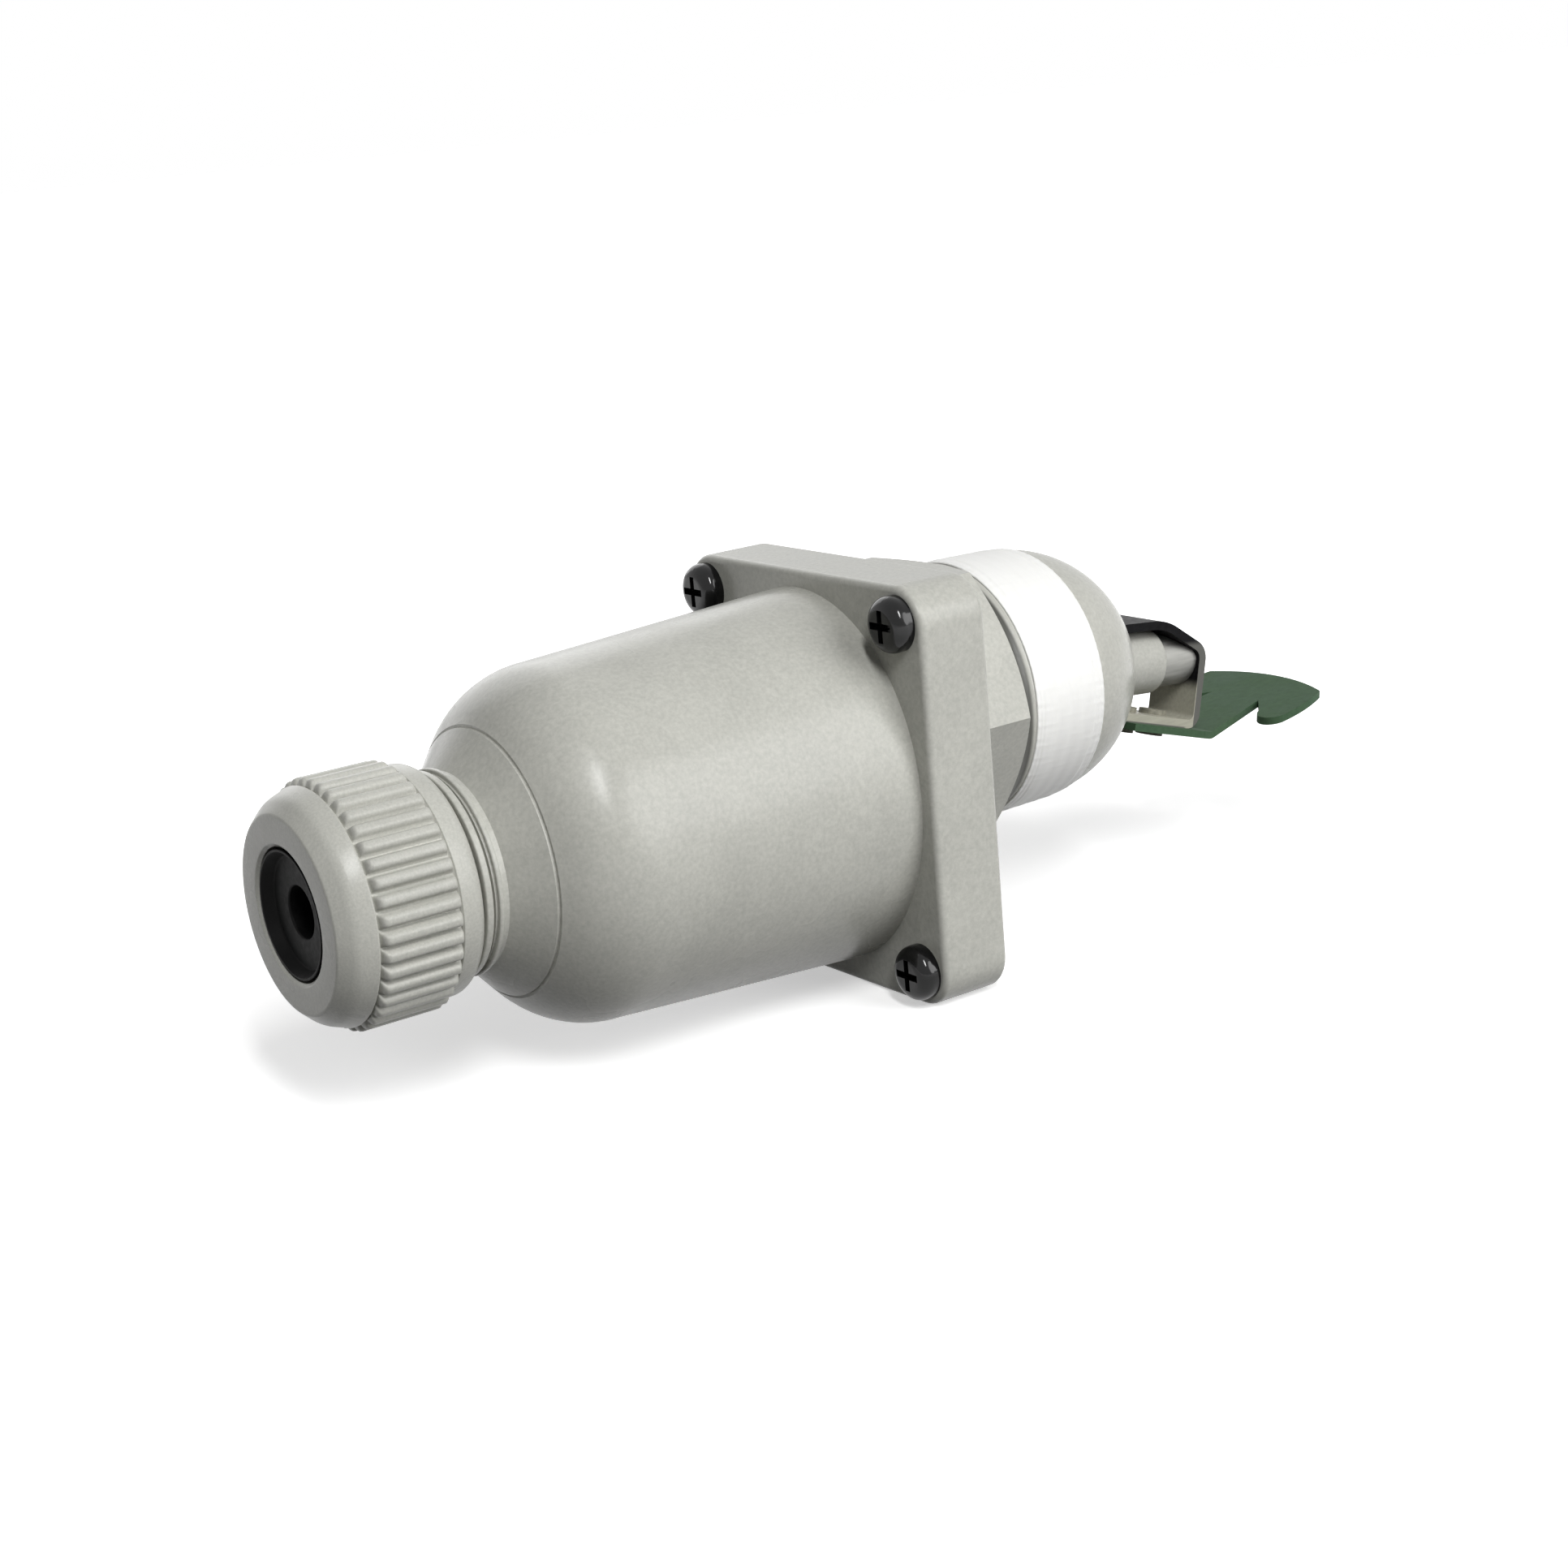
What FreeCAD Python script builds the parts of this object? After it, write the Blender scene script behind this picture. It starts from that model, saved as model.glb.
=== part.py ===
"""Paddle flow switch with a bell cover, a cable gland and a threaded pipe connection.

Millimetres. X runs along the pipe thread, from the cable gland (-X) to the paddle (+X), and Z is up.
The origin is on the axis of the pipe thread, at the middle of its taped length.
"""
import FreeCAD, Part
import math
import os

V = FreeCAD.Vector

# Pipe thread, sealing tape and rounded nose of the body
THREAD_R = 16.7
TAPE_WIDTH = 11.7
TAPE_THICKNESS = 0.25
BARE_THREAD = 2.1
THREAD_WALL = 4.7
NOSE_STEP = 0.1
NOSE_WALL = 3.4

# Hexagon and the two flanges
HEX_STEP = 0.8
HEX_LENGTH = 11.5
HEX_CHAMFER = 1.8
BODY_FLANGE_THICKNESS = 5.0
COVER_FLANGE_THICKNESS = 5.0
FLANGE_WIDTH = 49.0
FLANGE_HEIGHT = 53.0
FLANGE_CORNER_R = 5.0
FLANGE_EDGE_R = 0.8
FLANGE_LEDGE = 2.2
SCREW_INSET = 4.5

# Bell cover, whose axis lies below the thread's axis
BARREL_DROP = 6.2
BARREL_END_R = 22.1
BARREL_LENGTH = 37.0
SHOULDER_R = 13.0
CONE_SLOPE = 48.0
COVER_WALL = 2.4
CONE_LINE_R = 16.4
CONE_LINE_WIDTH = 0.35
NECK_R = 11.2
NECK_LENGTH = 16.0
NECK_BORE_R = 5.5
NECK_LAND_R = 12.0
NECK_LAND = 1.08
NECK_GROOVE = 0.45
NECK_RING_R = 12.2
NECK_RING = 0.63

# Cable gland
NUT_LENGTH = 18.5
NUT_GAP = 0.34
NUT_COLLAR = 4.0
NUT_COLLAR_R = 13.9
NUT_REAR_ROUND = 1.5
NUT_NOSE = 4.3
NUT_NOSE_R = 14.2
NUT_NOSE_BULGE = 0.7
NUT_FACE_R = 10.4
NUT_LIP_CHAMFER = 0.5
NUT_RIM = 3.2
RIB_R = 14.9
RIB_COUNT = 42
RIB_GROOVE = 0.55
RIB_GROOVE_DEPTH = 0.8
OPENING_R = 7.95
SLIP_RING_THICKNESS = 0.8
SEAL_R = 8.5
SEAL_LENGTH = 9.4
SEAL_CHAMFER = 0.8
SEAL_RECESS = 1.0
SEAL_LIP = 0.6
SEAL_DISH = 2.2
CABLE_R = 3.1

# Cover screws and gasket
SCREW_R = 1.75
SCREW_LENGTH = 9.4
SCREW_HEAD_R = 3.5
SCREW_HEAD_HEIGHT = 2.6
SCREW_HEAD_ROUND = 1.7
CROSS_WIDTH = 0.9
CROSS_REACH = 2.0
CROSS_DEPTH = 1.4
GASKET_INSET = 1.1
GASKET_WIDTH = 1.6
GASKET_HEIGHT = 1.2

# Rocking lever on a pin under the tape, and its plastic sleeve
PIVOT_X = 1.5
REST_DROOP = 6.0
SWING = 12.0
PIN_R = 1.5
HUB_R = 4.6
HUB_ROOM = 1.3
ROD_R = 3.9
LUG_HEIGHT = 7.6
LUG_FACE = 4.5
LUG_WIDTH = 6.0
TAIL_LENGTH = 10.5
TAIL_WIDTH = 5.0
TAIL_HEIGHT = 4.0
SLEEVE_ROOT_WALL = 0.95
SLEEVE_END_WALL = 0.7
SLEEVE_DEPTH = 4.8
SLEEVE_LENGTH = 15.5
SLEEVE_ROUND = 0.6

# Stirrup strip that the rod's end is riveted to
STRIP_THICKNESS = 1.2
STRIP_WIDTH = 9.0
STRIP_LEAF = 7.8
STRIP_FALL_RUN = 7.4
STRIP_FALL = 4.2
STRIP_DROP = 10.5
STRIP_LEAN = 1.2
STRIP_FOOT_RISE = 2.6
STRIP_KNEE_R = 8.0
STRIP_BEND_R = 2.2
STRIP_CORNER_R = 1.4
TENON_R = 1.8
TENON_ROOT = 2.0
TENON_DROP = 1.6
TENON_HEAD_R = 3.2
TENON_HEAD = 1.2
TENON_HEAD_ROUND = 0.5

# Paddle and its rivets
PADDLE_THICKNESS = 1.0
PADDLE_RISE = 16.0
PADDLE_TAIL = 13.2
PADDLE_BEND = 1.5
PADDLE_BEND_R = 2.0
PADDLE_TAIL_HALF = 6.3
PADDLE_BEND_HALF = 6.7
PADDLE_NOTCH = 11.4
PADDLE_NOTCH_HALF = 4.6
PADDLE_BARB = 6.9
PADDLE_BARB_HALF = 10.4
PADDLE_BARB_ROOT_HALF = 7.4
PADDLE_BARB_LENGTH = 1.7
PADDLE_WIDEST = 12.7
PADDLE_HALF = 12.0
PADDLE_TIP_CORNER = 17.4
PADDLE_TIP_HALF = 10.9
PADDLE_REACH = 19.6
PADDLE_RIVETS = (0.3, 0.7)
RIVET_R = 1.1
RIVET_HEAD_R = 1.9
RIVET_HEAD = 0.7

# Push rod between the lever's lug and the snap switch
PUSH_HEIGHT = 5.0
PUSH_R = 1.5
PUSH_CROWN_R = 2.5
DRY_RECESS_R = 13.0
DRY_RECESS_DEPTH = 8.5
PARTITION = 5.0
BUSH_R = 3.5
BUSH_FLANGE_R = 4.6
BUSH_FLANGE = 1.0
ROD_SEAL_LENGTH = 1.6
CLIP_R = 3.0
CLIP_THICKNESS = 0.6

# Return spring under the lever's tail
SPRING_R = 2.9
SPRING_WIRE_R = 0.4
SPRING_TURNS = 6
SPRING_CHORDS = 12
SPRING_OFFSET = 8.0
SPRING_POCKET = 1.0

# Snap switch and its bracket
CASE_LENGTH = 19.8
CASE_DEPTH = 9.6
CASE_WIDTH = 6.4
CASE_STANDOFF = 2.0
CASE_HOLE_R = 1.15
CASE_HOLE_SPACING = 9.5
CASE_HOLE_INSET = 3.1
PLUNGER_INSET = 7.5
PLUNGER_R = 1.1
PLUNGER_OUT = 1.9
PLUNGER_IN = 1.5
TERMINAL_LENGTH = 6.0
TERMINAL_WIDTH = 2.8
TERMINAL_THICKNESS = 0.6
TERMINAL_PITCH = 7.2
BRACKET_THICKNESS = 1.2
BRACKET_FOOT = 6.4
BRACKET_BOTTOM = -22.0
BRACKET_FOOT_TOP = -13.6
BRACKET_SCREW_SPACING = 3.8
BRACKET_SCREW_R = 1.0
BRACKET_SCREW_HEAD_R = 1.8
BRACKET_SCREW_HEAD = 1.0
BRACKET_SCREW_DEPTH = 3.5
SMALL_NUT_R = 2.1
SMALL_NUT_HEIGHT = 1.5

# Clearances
THREAD_FIT = 0.3
HOLE_FIT = 0.03
PIN_FIT = 0.05
CONTACT = 0.06
STRIP_FIT = 0.15
RUNNING = 0.4

# Sizes that follow the pipe thread and the flange
NOSE_R = THREAD_R + NOSE_STEP
CHAMBER_R = THREAD_R - THREAD_WALL
HEX_FLATS = 2 * (THREAD_R + HEX_STEP)
HUB_LENGTH = 2 * (CHAMBER_R - HUB_ROOM)
BARREL_BASE_WIDTH = FLANGE_WIDTH - 2 * FLANGE_LEDGE
BARREL_BASE_HEIGHT = FLANGE_HEIGHT - 2 * FLANGE_LEDGE

# Places of the body and the cover along X
TAPE_START = -TAPE_WIDTH / 2
TAPE_END = TAPE_WIDTH / 2
HEX_END = TAPE_START - BARE_THREAD
FLANGE_REAR = HEX_END - HEX_LENGTH
SEAM = FLANGE_REAR - BODY_FLANGE_THICKNESS
FLANGE_FRONT = SEAM - COVER_FLANGE_THICKNESS
BARREL_END = FLANGE_FRONT - BARREL_LENGTH
NOSE_X = TAPE_END - math.sqrt(NOSE_R ** 2 - THREAD_R ** 2)
SLOPE = math.radians(CONE_SLOPE)
CONE_START_X = BARREL_END - SHOULDER_R * math.sin(SLOPE)
CONE_START_R = BARREL_END_R - SHOULDER_R * (1 - math.cos(SLOPE))
NECK_START = CONE_START_X - (CONE_START_R - NECK_R) / math.tan(SLOPE)
NECK_END = NECK_START - NECK_LENGTH
NECK_RING_END = NECK_START - NECK_LAND - NECK_GROOVE - NECK_RING
WET_FACE = SEAM + DRY_RECESS_DEPTH + PARTITION
SCREW_Y = FLANGE_WIDTH / 2 - SCREW_INSET
SCREW_Z = FLANGE_HEIGHT / 2 - SCREW_INSET

# Places of the gland along X
NUT_REAR = NECK_RING_END - NUT_GAP
NUT_FRONT = NUT_REAR - NUT_LENGTH
RIB_REAR = NUT_REAR - NUT_COLLAR
RIB_FRONT = NUT_FRONT + NUT_NOSE
NUT_SHOULDER = NUT_FRONT + NUT_RIM
SEAL_FRONT = NUT_SHOULDER + SLIP_RING_THICKNESS + CONTACT
SEAL_REAR = SEAL_FRONT + SEAL_LENGTH
SEAL_BOSS_FRONT = NUT_FRONT + SEAL_RECESS
SEAL_BOSS_R = OPENING_R - THREAD_FIT

# Places of the lever, the sleeve and the stirrup, in the lever's own axes
DROOP = math.radians(REST_DROOP)
SLEEVE_ROOT_R = ROD_R + SLEEVE_ROOT_WALL
SLEEVE_END_R = ROD_R + SLEEVE_END_WALL
SLEEVE_START = NOSE_R - SLEEVE_DEPTH
SLEEVE_END = SLEEVE_START + SLEEVE_LENGTH
STRIP_TOP = SLEEVE_ROOT_R + STRIP_FIT + STRIP_THICKNESS / 2
STRIP_KNEE = SLEEVE_END - SLEEVE_ROUND
STRIP_START = STRIP_KNEE - STRIP_LEAF
STRIP_END = STRIP_KNEE + STRIP_FALL_RUN
STRIP_BEND = STRIP_TOP - STRIP_FALL
STRIP_FOOT = STRIP_BEND - STRIP_DROP
STRIP_FOOT_X = STRIP_END - STRIP_LEAN
LEAF_LENGTH = math.hypot(STRIP_FOOT_X - STRIP_START, STRIP_FOOT_RISE)
LEAF_TO_PADDLE = (STRIP_THICKNESS + PADDLE_THICKNESS) / 2

# Places of the push rod and the snap switch
CASE_FRONT = SEAM - BRACKET_THICKNESS - CASE_STANDOFF
CASE_REAR = CASE_FRONT - CASE_DEPTH
CASE_TOP = PUSH_HEIGHT + PLUNGER_INSET
CASE_LOW = CASE_TOP - CASE_LENGTH
CASE_MIDDLE = (CASE_TOP + CASE_LOW) / 2
CASE_SIDE = CASE_WIDTH / 2
CASE_HOLE_X = CASE_REAR + CASE_HOLE_INSET
BRACKET_SIDE = CASE_SIDE + BRACKET_THICKNESS
PUSH_FRONT = PIVOT_X - LUG_FACE / math.cos(DROOP) + PUSH_HEIGHT * math.tan(DROOP) - CONTACT
PUSH_REAR = CASE_FRONT + PLUNGER_OUT + CONTACT
BUSH_SEAT = WET_FACE - PARTITION
BUSH_REAR = BUSH_SEAT - BUSH_FLANGE
SPRING_X = PIVOT_X - SPRING_OFFSET * math.cos(DROOP)
SPRING_FLOOR = -CHAMBER_R - SPRING_POCKET


# Shapes that several pieces share
def arc(centre, radius, start, end):
    """Arc step of an outline: its middle and end points, from angles in degrees about a centre."""
    mid = math.radians((start + end) / 2)
    end = math.radians(end)
    return (
        (centre[0] + radius * math.cos(mid), centre[1] + radius * math.sin(mid)),
        (centre[0] + radius * math.cos(end), centre[1] + radius * math.sin(end)),
    )


def outline(start, steps, place):
    """Closed wire from a start point and steps; a step is a point, or an arc's middle and end points."""
    edges = []
    here = start
    for step in list(steps) + [start]:
        curved = isinstance(step[0], tuple)
        there = step[1] if curved else step
        if math.dist(here, there) < 1e-6:
            continue
        if curved:
            edges.append(Part.Arc(place(here), place(step[0]), place(there)).toShape())
        else:
            edges.append(Part.LineSegment(place(here), place(there)).toShape())
        here = there
    return Part.Wire(edges)


def turned(start, steps, height=0.0):
    """Solid turned about an axis along X at a height, from an (x, radius) outline."""
    wire = outline(start, steps, lambda p: V(p[0], 0, p[1]))
    solid = Part.Face(wire).revolve(V(0, 0, 0), V(1, 0, 0), 360)
    solid.translate(V(0, 0, height))
    return solid


def rod_x(radius, x0, x1, y=0.0, z=0.0):
    return Part.makeCylinder(radius, x1 - x0, V(x0, y, z), V(1, 0, 0))


def rod_y(radius, y0, y1, x, z):
    return Part.makeCylinder(radius, y1 - y0, V(x, y0, z), V(0, 1, 0))


def block(low, high):
    return Part.makeBox(high[0] - low[0], high[1] - low[1], high[2] - low[2], V(*low))


def hexagon_points(radius, place):
    angles = [math.radians(60 * i) for i in range(7)]
    return [place(radius * math.cos(a), radius * math.sin(a)) for a in angles]


def flange_plate(x0, x1, round_face):
    """Rounded rectangular plate about the barrel's axis, with one face's edge rounded over."""
    half_w = FLANGE_WIDTH / 2
    half_h = FLANGE_HEIGHT / 2
    plate = block((x0, -half_w, -BARREL_DROP - half_h), (x1, half_w, -BARREL_DROP + half_h))
    corners = [e for e in plate.Edges if abs(e.Vertexes[0].X - e.Vertexes[1].X) > 1e-6]
    plate = plate.makeFillet(FLANGE_CORNER_R, corners)
    rim = [e for e in plate.Edges if all(abs(v.X - round_face) < 1e-6 for v in e.Vertexes)]
    return plate.makeFillet(FLANGE_EDGE_R, rim)


def screw_places():
    return [(y, z - BARREL_DROP) for y in (-SCREW_Y, SCREW_Y) for z in (-SCREW_Z, SCREW_Z)]


def save(name, shape):
    shape.exportStep("parts/%s.step" % name)


os.makedirs("parts", exist_ok=True)


# Bell cover: flange, barrel that turns from the flange's oval to round, shoulder, scored cone and ringed neck
def oval(width, height, x):
    """Oval wire across the barrel's axis, at a place along X."""
    wire = Part.Wire([Part.makeCircle(width / 2, V(0, 0, 0), V(1, 0, 0))])
    stretch = FreeCAD.Matrix()
    stretch.scale(1, 1, height / width)
    wire = wire.transformGeometry(stretch)
    wire.translate(V(x, 0, -BARREL_DROP))
    return wire


def base_oval(inset, x0, x1):
    """Prism of the barrel's oval base, drawn in by an inset."""
    wire = oval(BARREL_BASE_WIDTH - 2 * inset, BARREL_BASE_HEIGHT - 2 * inset, x0)
    return Part.Face(wire).extrude(V(x1 - x0, 0, 0))


def barrel(inset):
    """Barrel between the flange's oval and the round shoulder, drawn in by an inset."""
    base = oval(BARREL_BASE_WIDTH - 2 * inset, BARREL_BASE_HEIGHT - 2 * inset, FLANGE_FRONT)
    end = oval(2 * (BARREL_END_R - inset), 2 * (BARREL_END_R - inset), BARREL_END)
    return Part.makeLoft([base, end], True, True)


def cone_x(radius):
    return CONE_START_X - (CONE_START_R - radius) / math.tan(SLOPE)


def cover_end():
    line_x = cone_x(CONE_LINE_R)
    dip = CONE_LINE_WIDTH / 2
    groove_x = NECK_RING_END + NECK_RING
    steps = [
        (BARREL_END, BARREL_END_R),
        arc((BARREL_END, BARREL_END_R - SHOULDER_R), SHOULDER_R, 90, 90 + CONE_SLOPE),
        (line_x + dip, CONE_LINE_R + dip * math.tan(SLOPE)),
        (line_x + dip, CONE_LINE_R - dip),
        (line_x - dip, CONE_LINE_R - dip * math.tan(SLOPE)),
        (cone_x(NECK_LAND_R), NECK_LAND_R),
        (groove_x + NECK_GROOVE, NECK_LAND_R),
        (groove_x + NECK_GROOVE, NECK_R),
        (groove_x, NECK_R),
        (groove_x, NECK_RING_R),
        (NECK_RING_END, NECK_RING_R),
        (NECK_RING_END, NECK_R),
        (NECK_END, NECK_R),
        (NECK_END, 0),
    ]
    return turned((BARREL_END, 0), steps, -BARREL_DROP)


def cover_end_room():
    steps = [
        (BARREL_END, BARREL_END_R - COVER_WALL),
        arc((BARREL_END, BARREL_END_R - SHOULDER_R), SHOULDER_R - COVER_WALL, 90, 90 + CONE_SLOPE),
        (NECK_START + COVER_WALL, NECK_BORE_R + COVER_WALL),
        (NECK_START, NECK_BORE_R),
        (SEAL_REAR, NECK_BORE_R),
        (SEAL_REAR, SEAL_R + HOLE_FIT),
        (NECK_END, SEAL_R + HOLE_FIT),
        (NECK_END, 0),
    ]
    return turned((BARREL_END, 0), steps, -BARREL_DROP)


def cover():
    plate = flange_plate(FLANGE_FRONT, SEAM, FLANGE_FRONT)
    shell = plate.fuse(barrel(0)).fuse(cover_end())
    room = base_oval(COVER_WALL, FLANGE_FRONT, SEAM).fuse(barrel(COVER_WALL)).fuse(cover_end_room())
    shell = shell.cut(room)
    for y, z in screw_places():
        shell = shell.cut(rod_x(SCREW_R + HOLE_FIT, FLANGE_FRONT, SEAM, y, z))
    return shell.removeSplitter()


# Body: flange, chamfered hexagon, pipe thread blank and domed nose with the lever's slot
def hexagon():
    corner = HEX_FLATS / math.sqrt(3)
    points = hexagon_points(corner, lambda y, z: V(FLANGE_REAR, y, z))
    prism = Part.Face(Part.makePolygon(points)).extrude(V(HEX_LENGTH, 0, 0))
    steps = [
        (FLANGE_REAR, corner),
        (HEX_END - HEX_CHAMFER, corner),
        (HEX_END, THREAD_R + THREAD_FIT),
        (HEX_END, 0),
    ]
    return prism.common(turned((FLANGE_REAR, 0), steps))


def lever_slot(x0, x1):
    """Upright slot that the sleeved lever rocks in, with room at both ends of its swing."""
    half = SLEEVE_ROOT_R + RUNNING
    rise = (NOSE_X + NOSE_R - PIVOT_X) * math.tan(math.radians(SWING / 2))
    ends = [rod_x(half, x0, x1, 0, z) for z in (-rise, rise)]
    return ends[0].fuse(ends[1]).fuse(block((x0, -half, -rise), (x1, half, rise)))


def wet_chamber():
    inner = NOSE_R - NOSE_WALL
    reach = math.degrees(math.asin(CHAMBER_R / inner))
    steps = [
        (WET_FACE, CHAMBER_R),
        (NOSE_X + inner * math.cos(math.radians(reach)), CHAMBER_R),
        arc((NOSE_X, 0), inner, reach, 0),
    ]
    return turned((WET_FACE, 0), steps)


def gasket_ring(fit):
    """Ring in the seam that follows the barrel's base, narrower than its groove by a fit on each side."""
    ring = base_oval(GASKET_INSET + fit, SEAM, SEAM + GASKET_HEIGHT)
    return ring.cut(base_oval(GASKET_INSET + GASKET_WIDTH - fit, SEAM, SEAM + GASKET_HEIGHT))


def body():
    plate = flange_plate(SEAM, FLANGE_REAR, FLANGE_REAR)
    nose_angle = math.degrees(math.asin(THREAD_R / NOSE_R))
    nipple = turned(
        (HEX_END, 0),
        [(HEX_END, THREAD_R), (TAPE_END, THREAD_R), arc((NOSE_X, 0), NOSE_R, nose_angle, 0)],
    )
    shape = plate.fuse(hexagon()).fuse(nipple)
    shape = shape.cut(wet_chamber()).cut(lever_slot(NOSE_X, NOSE_X + 2 * NOSE_R))
    shape = shape.cut(rod_x(DRY_RECESS_R, SEAM, BUSH_SEAT))
    shape = shape.cut(rod_x(BUSH_R + HOLE_FIT, BUSH_SEAT, WET_FACE, 0, PUSH_HEIGHT))
    shape = shape.cut(rod_y(PIN_R + HOLE_FIT, -2 * THREAD_R, 2 * THREAD_R, PIVOT_X, 0))
    pocket_r = SPRING_R + SPRING_WIRE_R + RUNNING
    shape = shape.cut(Part.makeCylinder(pocket_r, CHAMBER_R, V(SPRING_X, 0, SPRING_FLOOR), V(0, 0, 1)))
    shape = shape.cut(gasket_ring(0))
    for y, z in screw_places():
        shape = shape.cut(rod_x(SCREW_R + HOLE_FIT, SEAM, FLANGE_REAR, y, z))
    for y, z in bracket_screw_places():
        depth = BRACKET_SCREW_DEPTH + RUNNING
        shape = shape.cut(rod_x(BRACKET_SCREW_R + HOLE_FIT, SEAM, SEAM + depth, y, z))
    return shape.removeSplitter()


def thread_tape():
    sleeve = rod_x(THREAD_R + TAPE_THICKNESS, TAPE_START, TAPE_END)
    return sleeve.cut(rod_x(THREAD_R, TAPE_START, TAPE_END))


# Cover screws: pan heads with a cross recess, standing on the cover's flange
def cover_screw(y, z):
    top = FLANGE_FRONT - SCREW_HEAD_HEIGHT
    round_x = top + SCREW_HEAD_ROUND
    head = turned(
        (FLANGE_FRONT, 0),
        [
            (FLANGE_FRONT, SCREW_HEAD_R),
            (round_x, SCREW_HEAD_R),
            arc((round_x, SCREW_HEAD_R - SCREW_HEAD_ROUND), SCREW_HEAD_ROUND, 90, 180),
            (top, 0),
        ],
    )
    shank = rod_x(SCREW_R, FLANGE_FRONT, FLANGE_FRONT + SCREW_LENGTH)
    half = CROSS_WIDTH / 2
    across = block((top, -CROSS_REACH, -half), (top + CROSS_DEPTH, CROSS_REACH, half))
    upright = block((top, -half, -CROSS_REACH), (top + CROSS_DEPTH, half, CROSS_REACH))
    screw = head.fuse(shank).cut(across.fuse(upright)).removeSplitter()
    screw.translate(V(0, y, z))
    return screw


# Cable gland: ribbed dome nut, slip ring and dished rubber seal
def gland_nut():
    rise = NUT_NOSE_R - NUT_FACE_R
    chord = math.hypot(NUT_NOSE, rise)
    bulge = (
        NUT_FRONT + NUT_NOSE / 2 - NUT_NOSE_BULGE * rise / chord,
        (NUT_NOSE_R + NUT_FACE_R) / 2 + NUT_NOSE_BULGE * NUT_NOSE / chord,
    )
    steps = [
        (NUT_REAR, NUT_COLLAR_R - NUT_REAR_ROUND),
        arc((NUT_REAR - NUT_REAR_ROUND, NUT_COLLAR_R - NUT_REAR_ROUND), NUT_REAR_ROUND, 0, 90),
        (RIB_REAR, NUT_COLLAR_R),
        (RIB_REAR, RIB_R),
        (RIB_FRONT, RIB_R),
        (RIB_FRONT, NUT_NOSE_R),
        (bulge, (NUT_FRONT, NUT_FACE_R)),
        (NUT_FRONT, OPENING_R + NUT_LIP_CHAMFER),
        (NUT_FRONT + NUT_LIP_CHAMFER, OPENING_R),
        (NUT_SHOULDER, OPENING_R),
        (NUT_SHOULDER, NECK_R + THREAD_FIT),
    ]
    nut = turned((NUT_REAR, NECK_R + THREAD_FIT), steps)
    groove = block(
        (RIB_FRONT - RIB_GROOVE, -RIB_GROOVE / 2, RIB_R - RIB_GROOVE_DEPTH),
        (RIB_REAR, RIB_GROOVE / 2, RIB_R + RIB_GROOVE_DEPTH),
    )
    grooves = []
    for i in range(RIB_COUNT):
        cutter = groove.copy()
        cutter.rotate(V(0, 0, 0), V(1, 0, 0), 360.0 * i / RIB_COUNT)
        grooves.append(cutter)
    nut = nut.cut(Part.makeCompound(grooves))
    nut.translate(V(0, 0, -BARREL_DROP))
    return nut


def gland_slip_ring():
    ring = rod_x(NECK_R, NUT_SHOULDER, NUT_SHOULDER + SLIP_RING_THICKNESS, 0, -BARREL_DROP)
    return ring.cut(rod_x(OPENING_R, NUT_SHOULDER, NUT_SHOULDER + SLIP_RING_THICKNESS, 0, -BARREL_DROP))


def gland_seal():
    steps = [
        (SEAL_REAR, SEAL_R),
        (SEAL_FRONT + SEAL_CHAMFER, SEAL_R),
        (SEAL_FRONT, SEAL_BOSS_R),
        (SEAL_BOSS_FRONT, SEAL_BOSS_R),
        (SEAL_BOSS_FRONT, SEAL_BOSS_R - SEAL_LIP),
        (SEAL_BOSS_FRONT + SEAL_DISH, CABLE_R),
    ]
    return turned((SEAL_REAR, CABLE_R), steps, -BARREL_DROP)


# Lever and its pieces are laid out straight along X, then drooped about the pin
def drooped(shape):
    shape.rotate(V(0, 0, 0), V(0, 1, 0), REST_DROOP)
    shape.translate(V(PIVOT_X, 0, 0))
    return shape


def strip_side(points, radii, offset):
    """One side of a bent strip at a sideways offset: an end, three points of each bend's arc, an end."""
    across = V(0, 1, 0)
    heads = [(points[i + 1] - points[i]).normalize() for i in range(len(points) - 1)]
    sides = [head.cross(across) * offset for head in heads]
    marks = [points[0] + sides[0]]
    for i, radius in enumerate(radii):
        corner = points[i + 1]
        half = (math.pi - heads[i].getAngle(heads[i + 1])) / 2
        run = radius / math.tan(half)
        inward = (heads[i + 1] - heads[i]).normalize()
        centre = corner + inward * (radius / math.sin(half))
        turn = math.copysign(1, inward.dot(heads[i].cross(across)))
        marks.append(corner - heads[i] * run + sides[i])
        marks.append(centre - inward * (radius - turn * offset))
        marks.append(corner + heads[i + 1] * run + sides[i + 1])
    marks.append(points[-1] + sides[-1])
    return marks


def side_edges(marks):
    edges = []
    for i in range(0, len(marks) - 1, 3):
        edges.append(Part.LineSegment(marks[i], marks[i + 1]).toShape())
        if i + 3 < len(marks):
            edges.append(Part.Arc(marks[i + 1], marks[i + 2], marks[i + 3]).toShape())
    return edges


def across_y(edges, width):
    """Prism of a closed outline in the upright middle plane, spread to both sides."""
    prism = Part.Face(Part.Wire(edges)).extrude(V(0, width, 0))
    prism.translate(V(0, -width / 2, 0))
    return prism


def bent_strip(points, radii, thickness, width):
    """Strip of one thickness bent along a line of (x, z) points, with a radius at each inner point."""
    line = [V(x, 0, z) for x, z in points]
    upper = strip_side(line, radii, thickness / 2)
    lower = strip_side(line, radii, -thickness / 2)[::-1]
    edges = side_edges(upper) + [Part.LineSegment(upper[-1], lower[0]).toShape()]
    edges += side_edges(lower) + [Part.LineSegment(lower[-1], upper[0]).toShape()]
    return across_y(edges, width)


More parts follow.
